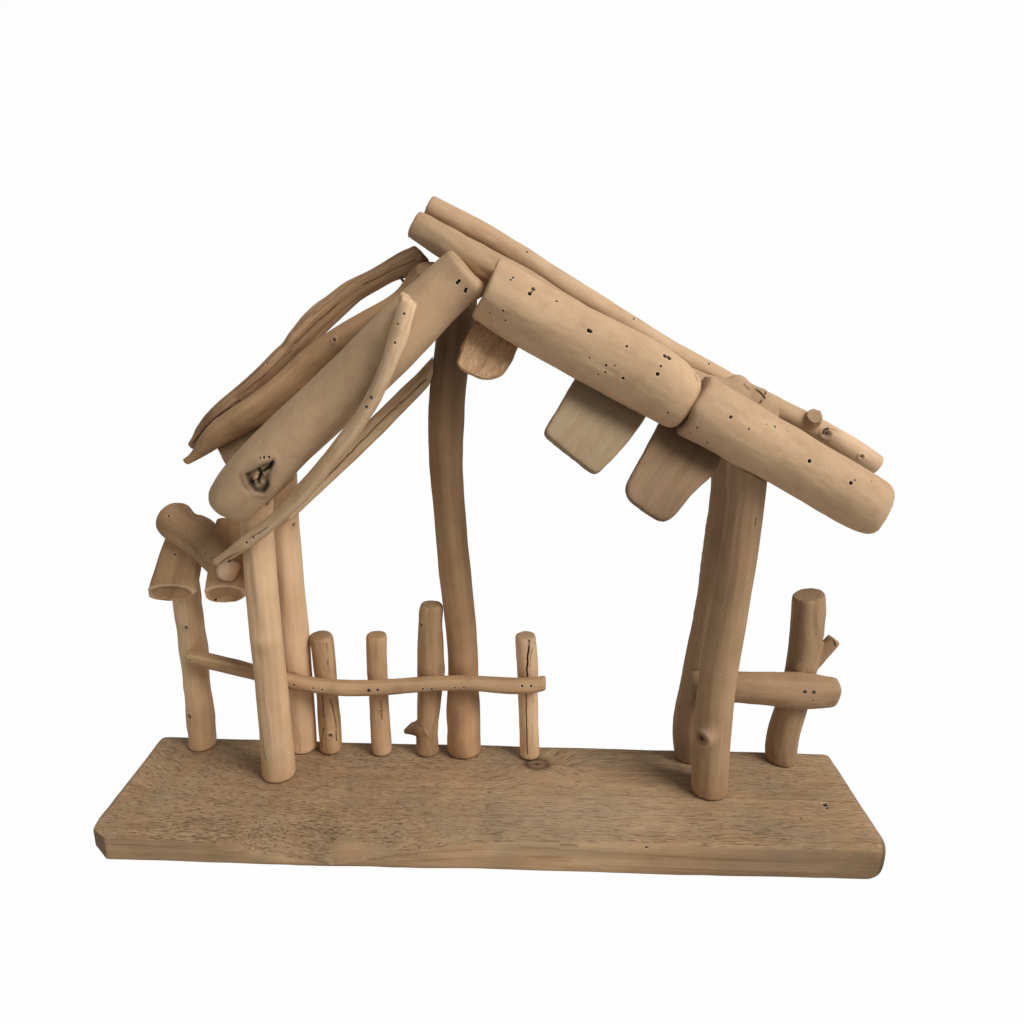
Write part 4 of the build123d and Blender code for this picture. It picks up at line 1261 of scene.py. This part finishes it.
def rotted_knot(wood, points, normals, seed):
    """Presses the rotted knot into the log: a broken stub in a hollow, with clefts round it painted black as
    shade.
    """
    places = picture_places(points)
    facing = to_camera(points, normals) > 0
    deep = np.where(facing, outline_distance(places, knot_outline), hidden_from_camera)
    splinters = rough_noise(points / splinter_size, seed + 31, 2)
    cleft = np.max([hump(line_distance(places, np.array(line)), cleft_width) for line in knot_clefts], axis=0)
    cleft *= ease(-1, 2, deep)
    crescent = hump(deep - crescent_place, crescent_width) * ease(-3, 5, (places - knot_middle) @ lower_left)
    cleft = np.maximum(cleft, 0.95 * crescent)
    torn = ease(-0.1, 0.5, splinters) * ease(0.5, 3, deep) * (1 - cleft)
    stain = np.maximum(0.7 * ease(0, 2, deep) * (1 - 0.7 * torn), 0.2 * hump(deep, stain_width) * facing)
    wood.lift -= hollow_depth * ease(0, 4, deep) * (0.4 + 0.35 * splinters + 0.6 * cleft)
    wood.lift += knot_lip * hump(deep - lip_place, lip_width) * facing
    # The clefts and the crescent inside the lower lip are painted black: painted shade.
    wood.pit = np.maximum(wood.pit, 0.97 * cleft)
    wood.rim = np.maximum(wood.rim, 0.9 * torn)
    wood.dark = np.maximum(wood.dark, stain)


print("clefts in the rotted knot:", len(knot_clefts))

# %% [markdown]
# ## The roof logs
# The thick logs are pale, smooth and peppered with worm holes, because shipworms love soft wood in the sea.
# Their lower ends are worn to a dome, which takes many rounds of wear, and their upper ends were sawn.

# %% Roof logs
upper_holes = [
    (511, 279, 0.5), (530, 293, 0.95), (532, 291, 0.5), (557, 300, 0.65), (489, 314, 0.5), (503, 311, 0.5),
    (505, 321, 0.5), (589, 330, 0.95), (591, 331, 0.8), (627, 346, 0.6), (665, 356, 1.1), (669, 358, 1.2),
    (661, 366, 0.6), (658, 374, 0.9), (606, 366, 0.6), (605, 373, 0.5), (598, 375, 0.5), (623, 379, 0.7),
    (668, 413, 0.6), (589, 359, 0.4), (615, 366, 0.35),
]
lower_holes = [
    (731, 417, 0.8), (697, 428, 0.55), (690, 433, 0.5), (707, 443, 0.7), (749, 429, 0.5), (810, 461, 1.0),
    (851, 483, 1.0), (855, 480, 0.45), (872, 481, 0.45), (767, 424, 0.3), (788, 431, 0.3),
]
left_holes = [
    (457, 283, 0.75), (459, 281, 0.75), (465, 291, 0.75), (466, 288.5, 0.75), (260, 458, 0.5),
    (264, 457.5, 0.6), (269, 457, 0.6),
]
log_dents = (40, 14)
roof_logs = {
    "right_upper_front_log": dict(
        seed=31, dents=0.6, dent_size=log_dents, wear=(6, 220, 6), tone=0.1, holes=upper_holes,
        pulls=[(504, 265, 20, -4, -5), (489, 291, 20, -2, -2), (475, 322, 20, -2, -5)],
        cracks=[([(696, 372), (695, 376), (697, 380)], 0.45, 0.6)],
        tints_and_shading=[(655, 360, 14, -0.05), (690, 370, 12, 0.1), (507, 276, 4, -0.12)],
    ),
    "right_lower_front_log": dict(
        seed=32, dents=0.6, dent_size=log_dents, wear=(6, 190, 6), holes=lower_holes,
        pulls=[(701, 403, 16, -8, 0), (709, 381, 12, 0, -3), (893, 489, 18, 1, -2), (870, 530, 14, 4, 2)],
        tints_and_shading=[(765, 430, 16, 0.1)],
    ),
    "right_middle_log": dict(
        seed=33, dents=0.8, dent_size=(26, 10), wear=(22, 30, 6), tone=-0.09,
        pulls=[(742, 384, 14, 2, -9), (764, 397, 13, 3, -8), (776, 406, 8, 3, -4)],
        holes=[(706, 362, 0.5), (633, 328, 0.45)],
        swells=[(739, 377, 5, 0.8), (750, 390, 4, -0.8), (762, 393, 4, 0.8), (776, 404, 4, 0.8)],
        cracks=[
            ([(757, 389), (761, 393), (765, 398)], 0.6, 1.2),
            ([(766, 392), (777, 399)], 0.5, 1.0),
            ([(745, 384), (750, 388)], 0.4, 0.6),
        ],
        tints_and_shading=[(760, 393, 9, -0.12)],
        pales=[(742, 377, 5, 0.4)],
    ),
    "right_back_log": dict(
        seed=34, dents=0.6, dent_size=log_dents, wear=(16, 26, 5), tone=0.08,
        pulls=[(812, 417, 9, 4, 2)],
        knots=[(827, 434, 2.6), (862, 457, 1.5)],
        cracks=[([(823, 434), (824, 430), (828, 429)], 0.6, 1.6), ([(831, 429), (838, 431)], 0.3, 0.5)],
        # The darker tints in the dip before the stub and round the stub are painted shade.
        tints_and_shading=[(852, 446, 26, 0.15), (800, 410, 20, -0.15), (829, 437, 5, -0.25), (812, 419, 4, -0.3)],
        pales=[(845, 444, 11, 0.7), (868, 455, 10, 0.7), (560, 280, 30, 0.35), (660, 340, 30, 0.35)],
    ),
    "left_front_log": dict(
        seed=35, dents=0.5, dent_size=log_dents, wear=(160, 2, 6), holes=left_holes,
        plug=(261, 476, 9.5), carve=rotted_knot,
        pulls=[(212, 502, 20, -3, 3)],
        swells=[(477, 291, 6, 1.8)],
        # Darker at the lower left and lighter towards the ridge: painted light and shade along the log.
        tints_and_shading=[(225, 490, 16, -0.1), (300, 420, 20, 0.04), (440, 285, 34, 0.14)],
    ),
}
dress_all("roof logs", roof_logs)

# %% [markdown]
# ## The front brace
# A thin pale stick braces the left corner, and its upper end lies on the thick log.
# The log has its worn skin by now, so the stick's upper end is laid on that skin:
# rings of points round a heart line, a little proud of the log.
# The remesh then joins it to the rest of the brace without a seam.

# %% The brace on the log
brace_top = [(409.7, 299), (406.4, 311), (402, 327), (396.5, 345), (389.5, 362), (381.5, 380)]
brace_radius = 4.5 * MM
brace_proud_share = 0.7
brace_taper = 0.78
brace_seed = 61
ring_count = 20


def laid_stick(log, pixels, radius):
    """A round stick that lies on a log, under some points of the picture."""
    proud = radius * brace_proud_share
    places = on_wood(log, bvh_of(log), pixels)
    hearts = [place - np.array(sight_line(pixel)) * proud for place, pixel in zip(places, pixels)]
    hearts = path_points(hearts, radius / 2, brace_seed)
    axis = (hearts[-1] - hearts[0]) / np.linalg.norm(hearts[-1] - hearts[0])
    side = np.cross(axis, (0.0, 1.0, 0.0))
    side /= np.linalg.norm(side)
    front = np.cross(axis, side)
    turns = np.arange(ring_count) * math.tau / ring_count
    ring = radius * (np.cos(turns)[:, None] * side + np.sin(turns)[:, None] * front)
    taper = np.linspace(1.0, brace_taper, len(hearts))[:, None, None]
    corners = (hearts[:, None] + ring[None] * taper).reshape(-1, 3)
    faces = [list(range(ring_count))[::-1], list(range(len(corners) - ring_count, len(corners)))]
    for row in range(len(hearts) - 1):
        for k in range(ring_count):
            here, after = row * ring_count + k, row * ring_count + (k + 1) % ring_count
            faces.append([here, after, after + ring_count, here + ring_count])
    mesh = bpy.data.meshes.new("brace_top")
    mesh.from_pydata(corners.tolist(), [], faces)
    return mesh


laid_top = laid_stick(bpy.data.objects["left_front_log_wood"], brace_top, brace_radius)
print("points in the brace's top:", len(laid_top.vertices))

# %% [markdown]
# ## The ends of the wing roof
# The two slats of the short wing roof are split logs, sawn at a slant, so their lower ends show an oval face.
# Each oval is given in the picture by its middle and its half width and height.
# The wood below is drawn in to the oval's outline, and the face is pressed in and painted darker as shade,
# behind an upper rim painted pale as a highlight.

# %% Oval ends of the wing roof
outer_oval = (169.5, 593.5, 23.5, 7.6)
inner_oval = (224.5, 594.8, 20.5, 8.2)
log_end = (229.5, 571.0, 14.0, 11.0)
outer_hang, inner_hang = 584, 586
hang_spare = 3
trim_rounds = 6
face_depth = 1.4 * MM
rim_swell = 0.5 * MM
end_groove = 0.3 * MM
bare_run = 2 * MM
far_share = 9.0


def oval_share(places, oval):
    """Distance from the middle of an oval in the picture; the outline is 1."""
    return np.hypot((places[:, 0] - oval[0]) / oval[2], (places[:, 1] - oval[1]) / oval[3])


def seen_share(points, normals, oval):
    """The oval share on the side that faces the camera, and a large value elsewhere."""
    return np.where(to_camera(points, normals) > 0, oval_share(picture_places(points), oval), far_share)


def rounded_end(oval, hang_from):
    """Draws the lower end of a split log down to the bottom of an oval, and its corners in to the outline."""
    def trim(piece):
        places = picture_places(points_of(piece))
        longer = (oval[1] + oval[3] + hang_spare - hang_from) / (places[:, 1].max() - hang_from)
        hung = places.copy()
        hung[:, 1] += np.maximum(places[:, 1] - hang_from, 0) * (longer - 1)
        outside = np.maximum(oval_share(hung, oval), 1.0)
        drawn_in = oval[:2] + (hung - oval[:2]) / outside[:, None]
        below = hung[:, 1:] > oval[1]
        shift_in_picture(piece, np.where(below, drawn_in, hung) - places)
        wear_down(piece, trim_rounds, 1.0)
    return trim


def pale_end(oval):
    """Shows the pale bare wood of a log's worn end."""
    def carve(wood, points, normals, seed):
        share = seen_share(points, normals, oval)
        bare = (1 - ease(0.8, 1.05, share)) * (0.85 + 0.15 * soft_noise(points / bare_run, seed))
        edge = hump(share - 1.1, 0.1)
        wood.lift -= end_groove * edge
        wood.rim = np.maximum(wood.rim, bare)
        wood.dark = np.maximum(wood.dark, 0.3 * edge)
    return carve


def oval_face(oval):
    """Presses the slanting cut face of a split log, painted darker as shade, with a pale rim above it painted
    as a highlight.
    """
    def carve(wood, points, normals, seed):
        share = seen_share(points, normals, oval)
        upper = 1 - ease(-0.2, 0.6, (picture_places(points)[:, 1] - oval[1]) / oval[3])
        inside = 1 - ease(0.75, 1.0, share)
        rim = hump(share - 1.06, 0.14) * upper
        # The face is painted darker as shade, and the upper rim paler as a highlight.
        wood.lift -= face_depth * inside - rim_swell * rim
        wood.rim = np.maximum(wood.rim, 0.7 * rim)
        wood.dark = np.maximum(wood.dark, 0.3 * inside)
    return carve


print("oval ends:", len([outer_oval, inner_oval, log_end]))

# %% [markdown]
# ## The branches
# The back of the left roof is made of two weathered branches with deep grooves.
# Dents that are long and very narrow give the second branch its ridges, and four cracks its grooves.

# %% Branches
branches = {
    "left_middle_branch": dict(
        seed=36, finish="brown_wood", wear=(20, 10, 5), dents=0.6, tone=0.55,
        pulls=[(420, 276, 20, -4, -8)],
        knots=[(334, 340, 1.2)],
        # The strong dark tint on the bulge at its upper end is painted shade.
        tints_and_shading=[(190, 452, 9, 0.2), (267, 411, 8, 0.15), (424, 266, 12, -0.9)],
        cracks=[([(232, 436), (262, 414), (300, 390)], 0.3, 0.4)],
    ),
    "left_back_branch": dict(
        seed=37, finish="grooved_wood", wear=(20, 8, 5), dents=0.8, dent_size=(60, 3.5), tone=0.45,
        pulls=[(345, 292, 24, -2, -5), (312, 315, 24, -2, -6)],
        cracks=[
            ([(415, 260), (364, 285), (323, 316), (294, 344)], 0.6, 0.45),
            ([(239, 401), (213, 420), (192, 444)], 0.6, 0.6),
            ([(405, 252), (350, 283), (312, 315)], 0.5, 0.3),
            ([(290, 352), (262, 378), (235, 398)], 0.5, 0.35),
        ],
        swells=[(282, 343, 4, -1.2), (288, 338, 5, 0.6), (409, 269, 8, 2.6)],
    ),
}
dress_all("branches", branches)

# %% [markdown]
# ## The slats
# Flat slats under the logs hold them together: one torn, one grey and sawn, one brown and planed.
# They show no year rings, because they were cut along the tree and not across it.

# %% Slats
slats = {
    "left_eave_slat": dict(seed=41, wear=(14, 14, 6)),
    "ridge_slat": dict(
        seed=38, finish="torn_slat_wood", wear=(110, 110, 30), dents=0.8, dent_size=(12, 6), tone=0.33,
        pulls=[(468, 355, 18, -9, 7), (484, 372, 16, -3, 7)],
    ),
    "middle_slat": dict(
        seed=39, finish="grey_slat_wood", wear=(45, 45, 20), dents=0.3, dent_size=(10, 5), tone=0.03,
        pulls=[
            (637, 413, 22, 7, 6), (620, 440, 22, 6, 8), (600, 462, 22, -2, 11), (574, 448, 22, -2, 6),
            (546, 432, 22, -1, 0),
        ],
    ),
    "lower_slat": dict(
        seed=40, wear=(100, 100, 30), dents=0.3, tone=-0.42,
        pulls=[
            (706, 456, 24, 11, 9), (690, 480, 24, 8, 7), (674, 505, 24, 5, 5), (662, 512, 24, 2, 8),
            (640, 503, 24, -1, 5), (628, 485, 24, -2, 2),
        ],
        tints_and_shading=[(650, 500, 10, 0.06)],
    ),
}
dress_all("slats", slats, rings=0.0)

# %% [markdown]
# ## The wing roof and the braces
# A short wing roof on the left has two split slats and a flat log, and two thin sticks brace the frame.

# %% Wing roof and braces
wing_and_braces = {
    "wing_roof_log": dict(
        seed=42, finish="brown_wood", wear=(60, 14, 14), dents=0.5, tone=0.3, carve=pale_end(log_end),
        pulls=[(226, 572, 16, 3, 5), (194, 508, 7, 1, 4)],
        swells=[(159, 514, 9, 2.6), (176, 504, 8, 2.0), (199, 513, 6, -1.8)],
        tints_and_shading=[(230, 571, 7, 0.9)],
        holes=[(205, 553, 0.5), (211, 558, 0.45), (186, 535, 0.4)],
    ),
    "wing_outer_slat": dict(
        seed=43, finish="brown_wood", wear=(16, 16, 12), dents=0.4, tone=0.55, rings=0.0,
        trim=rounded_end(outer_oval, outer_hang), carve=oval_face(outer_oval),
    ),
    "wing_inner_slat": dict(
        seed=44, finish="brown_wood", wear=(16, 16, 12), dents=0.4, tone=1.05, rings=0.0,
        trim=rounded_end(inner_oval, inner_hang), carve=oval_face(inner_oval),
    ),
    "front_brace": dict(
        seed=45, net=twig_net, wear=(14, 60, 16), dents=0.4, dent_size=(24, 6), tone=0.22, added=laid_top,
        tints_and_shading=[(402, 320, 22, 0.3)],
        holes=[
            (404, 314, 0.6), (397, 324, 0.55), (394.5, 343, 0.6), (258.5, 533.5, 0.6), (249, 539, 0.4),
            (247, 542.5, 0.5),
        ],
        cracks=[([(219, 564), (228, 558), (238, 553)], 0.35, 0.7), ([(251, 537), (267, 528)], 0.3, 0.5)],
    ),
    "rear_brace": dict(
        seed=46, net=twig_net, wear=(12, 12, 6), dents=0.4, dent_size=(24, 5), tone=0.46,
        cracks=[([(426, 380), (384, 418), (353, 450), (322, 482), (300, 500)], 0.5, 0.6)],
        tints_and_shading=[(430, 368, 12, -0.4)],
    ),
}
dress_all("wing roof and braces", wing_and_braces)

# %% [markdown]
# ## The plank
# The plank is one rough-sawn board, left in the weather until the soft wood between the fibres wore away.
# Wear and dents only take wood away, and the underside stays flat, so that the plank still sits on the floor.

# %% Plank wood
plank_cracks = [
    ([(752, 832), (770, 834), (790, 835)], 0.5, 0.5),
    ([(120, 836), (200, 818), (262, 830)], 0.6, 0.25),
    ([(560, 845), (575, 846)], 0.6, 0.4),
    ([(620, 795), (700, 797)], 0.4, 0.2),
    ([(735, 797), (850, 801)], 0.4, 0.2),
    ([(258, 847), (300, 856), (330, 863)], 0.5, 0.3),
    ([(336, 863), (375, 859), (420, 853), (470, 851)], 0.5, 0.3),
    ([(350, 866), (400, 862), (480, 858), (560, 858)], 0.4, 0.2),
    ([(520, 848), (640, 855), (760, 862)], 0.35, 0.2),
    ([(115, 846), (180, 848), (250, 853)], 0.35, 0.2),
    ([(600, 866), (720, 871), (850, 876)], 0.35, 0.2),
]
plank = dress(
    "base_plank", seed=51, net=plank_net, wear=(24, 24, 16), dents=0.5, dent_size=(46, 16), hidden=5,
    cracks=plank_cracks,
    holes=[
        (822, 804, 1.2), (824, 807, 0.8), (645, 848, 0.6), (798, 818, 0.5), (700, 763, 0.6), (546, 840, 0.4),
    ],
    # The darker spots beside the feet of the posts are painted shadows of the posts.
    tints_and_shading=[
        (882, 868, 7, -0.2), (620, 815, 50, 0.05), (820, 800, 40, 0.03), (265, 775, 16, -0.12),
        (690, 785, 16, -0.12), (492, 853, 4, 0.2), (310, 735, 16, -0.08),
    ],
)
print("plank points:", len(plank.data.vertices))

# %% [markdown]
# ## The waney edge
# Along the front the board was cut near the outside of the tree, so its edge is round, and dips to nothing
# at one place. A list of heights along the front holds that line, and the top rolls down to meet it.
# The right front corner is worn round, and a piece is split off the left one by two slanting planes.

# %% Waney edge
wane_heights = [
    (95, 14.5), (180, 14.0), (250, 11.5), (280, 8.0), (310, 4.2), (333, 1.5), (360, 3.6), (400, 10.0),
    (450, 15.0), (500, 18.0), (600, 19.3), (900, 19.3),
]
wane_reach = 17 * MM
wane_tremble = 0.5 * MM
wane_tremble_run = 9 * MM
end_spread = np.array([1.009, 1.0, 1.0])

solid_points = np.array([vert.co for vert in frame["nodes"]["base_plank"].data.vertices])
points = np.clip(points_of(plank), solid_points.min(0), solid_points.max(0)) * end_spread
low, high = solid_points.min(0) * end_spread, solid_points.max(0) * end_spread
rim_height = np.interp(picture_places(points)[:, 0], *zip(*wane_heights)) * MM
rim_height += wane_tremble * soft_noise(points / wane_tremble_run, 55)
set_back = np.clip((points[:, 1] - low[1]) / wane_reach, 0, 1)
most = rim_height + np.maximum(high[2] - rim_height, 0) * (1 - (1 - set_back) ** 2)
points[:, 2] = np.minimum(points[:, 2], most)
put_points(plank, points)
print("lowest place of the front edge:", round(rim_height.min() / MM, 1), "mm")

# %% Plank corners
corner_reach = 10 * MM
corner_rounds = 140
even_wear = 0.06
corner_cuts = [((0.5, 1.0, 0.0), 4.4 * MM), ((0.8, 0.1, 0.9), 6.8 * MM)]
sole_drop = 0.9 * MM
sole_reach = 5 * sole_drop

near_corner = 1 - ease(0, corner_reach, high[0] - points[:, 0])
near_corner *= 1 - ease(0, corner_reach, points[:, 1] - low[1])
wear_down(plank, corner_rounds, even_wear + (1 - even_wear) * near_corner)
points = points_of(plank)
cut_away = np.zeros(len(points))
for slants, cut in corner_cuts:
    beyond = np.maximum(cut - (points - low) @ slants, 0)
    points += np.outer(beyond, slants) / np.dot(slants, slants)
    cut_away = np.maximum(cut_away, beyond)
points[:, 2] = np.maximum(points[:, 2] - sole_drop * (1 - ease(0, sole_reach, points[:, 2])), 0)
put_points(plank, points)
print("points on the split corner:", int((cut_away > 0).sum()))

# %% [markdown]
# ## The plank's grain
# The fibres bend round a knot at the back and run askew at the left end, so the places that the grain reads
# are bent too. The board's front is smoother and paler than its top, and its ends show their rings.
# Soft spots in the picture say where the top is most torn and where it has gone grey.

# %% Plank grain
knot_pixel = (537, 764)
knot_size = 6.0 * MM
knot_spread = 17 * MM
knot_squeeze = np.array([0.75, 1.0, 1.0])
askew_from = -100 * MM
askew_slope = 0.4
wave_height = 5 * MM
wave_run = 70 * MM
right_tear_share = 0.6

knot_place = on_wood(plank, bvh_of(plank), [knot_pixel])[0]
from_knot = points - knot_place
ring = np.linalg.norm(from_knot * knot_squeeze, axis=1)
bend = knot_spread * hump(ring, knot_spread) * np.sign(from_knot[:, 1])
askew = np.minimum(points[:, 0] - askew_from, 0.0) * askew_slope * ease(low[1], high[1], points[:, 1])
wave = wave_height * soft_noise(points / wave_run, 57)
drawn_out = np.where(points[:, 0] > 0, points[:, 0] * right_tear_share, points[:, 0])
bent = np.column_stack([drawn_out, points[:, 1] + bend + askew + wave, points[:, 2]])
write_value(plank, "grain", bent, "FLOAT_VECTOR")
print("knot on the plank at", [round(value, 3) for value in knot_place])

# %% Plank roughness and tone
torn_band = (250, 832, 170, 22)
torn_left = (190, 775, 60, 25)
grey_spot = (570, 815, 120, 28)
front_pale = 0.10
front_middle, front_reach = 510, 130
front_shade = (600, 820)
top_shade = (660, 760)
split_edge = 0.5 * MM
rough_range = (0.4, 1.3)


def soft_spot(places, x, y, width, height):
    """A soft spot in the picture, 1 at its middle."""
    return hump(places[:, 0] - x, width) * hump(places[:, 1] - y, height)


places = picture_places(points)
normals = normals_of(plank)
facing_front = ease(0.72, 0.92, -normals[:, 1])
facing_up = ease(0.3, 0.8, normals[:, 2])
facing_end = ease(0.25, 0.6, np.abs(normals[:, 0]))
in_band = soft_spot(places, *torn_band)
rough = 0.92 + 0.16 * rough_noise(points / (24 * MM), 58) + 0.16 * in_band
rough += 0.12 * soft_spot(places, *torn_left)
write_value(plank, "rough", np.clip(rough, *rough_range) * (1 - 0.75 * facing_front) * (1 - 0.6 * facing_end))
light = read_value(plank, "tone") - 0.1 * in_band + 0.06 * soft_noise(points / (18 * MM), 59)
light += facing_front * (front_pale + 0.28 * hump(places[:, 0] - front_middle, front_reach))
light -= 0.34 * facing_front * ease(*front_shade, places[:, 0])
light -= 0.08 * facing_up * ease(*top_shade, places[:, 0])
light -= 0.4 * facing_end + 0.25 * ease(0, split_edge, cut_away)
greyed = soft_spot(places, *grey_spot) * facing_up
write_value(plank, "rim", np.maximum(read_value(plank, "rim"), 0.3 * greyed))
write_value(plank, "tone", light)
write_value(plank, "cut", facing_end)
print("tone of the plank:", round(float(light.mean()), 3))

# %% Plank knot
away = ring / knot_size
year_rings = 0.5 + 0.5 * np.sin(6 * away + 2 * soft_noise(points / (5 * MM), 60))
knot = 0.7 * hump(away - 0.8, 0.25) + 0.8 * hump(away, 0.22) + 0.3 * hump(away, 1.0)
knot += 0.16 * year_rings * hump(away, 2.6)
knot = np.clip(knot, 0, 1) * facing_up
write_value(plank, "knot", np.maximum(read_value(plank, "knot"), knot))
print("points on the plank's knot:", int((knot > 0.5).sum()))

# %% [markdown]
# ## Nails and screws
# The nails are bright wire gone dull, with rust freckles,
# and the screws under the plank are of the same steel.
# Their solids are plain enough to be shown as they are, so only the finish is added.

# %% Nails and screws
wire_grey = (0.070, 0.058, 0.048, 1.0)
rust_brown = (0.035, 0.018, 0.010, 1.0)
steel_sheen = 0.5
freckles_per_metre = 900.0
rust_range = (0.42, 0.65)
steel = bpy.data.materials.new("dull_steel")
steel.use_nodes = True
tree = steel.node_tree
shader = tree.nodes["Principled BSDF"].inputs
shader["Metallic"].default_value = steel_sheen
steel_places = place_node(tree, "ShaderNodeTexCoord").outputs["Object"]
rust = noise_node(tree, steel_places, freckles_per_metre, detail=4.0)
link_nodes(
    tree,
    (colour_mix(tree, eased(tree, rust, *rust_range), wire_grey, rust_brown), shader["Base Color"]),
    (eased(tree, rust, 0.3, 0.7, 0.55, 0.85), shader["Roughness"]),
)
fasteners = (*brad_groups, "base_screws")
for node in fasteners:
    wire = frame["nodes"][node]
    wire.data.materials.clear()
    wire.data.materials.append(steel)
print("fastener groups:", len(fasteners))
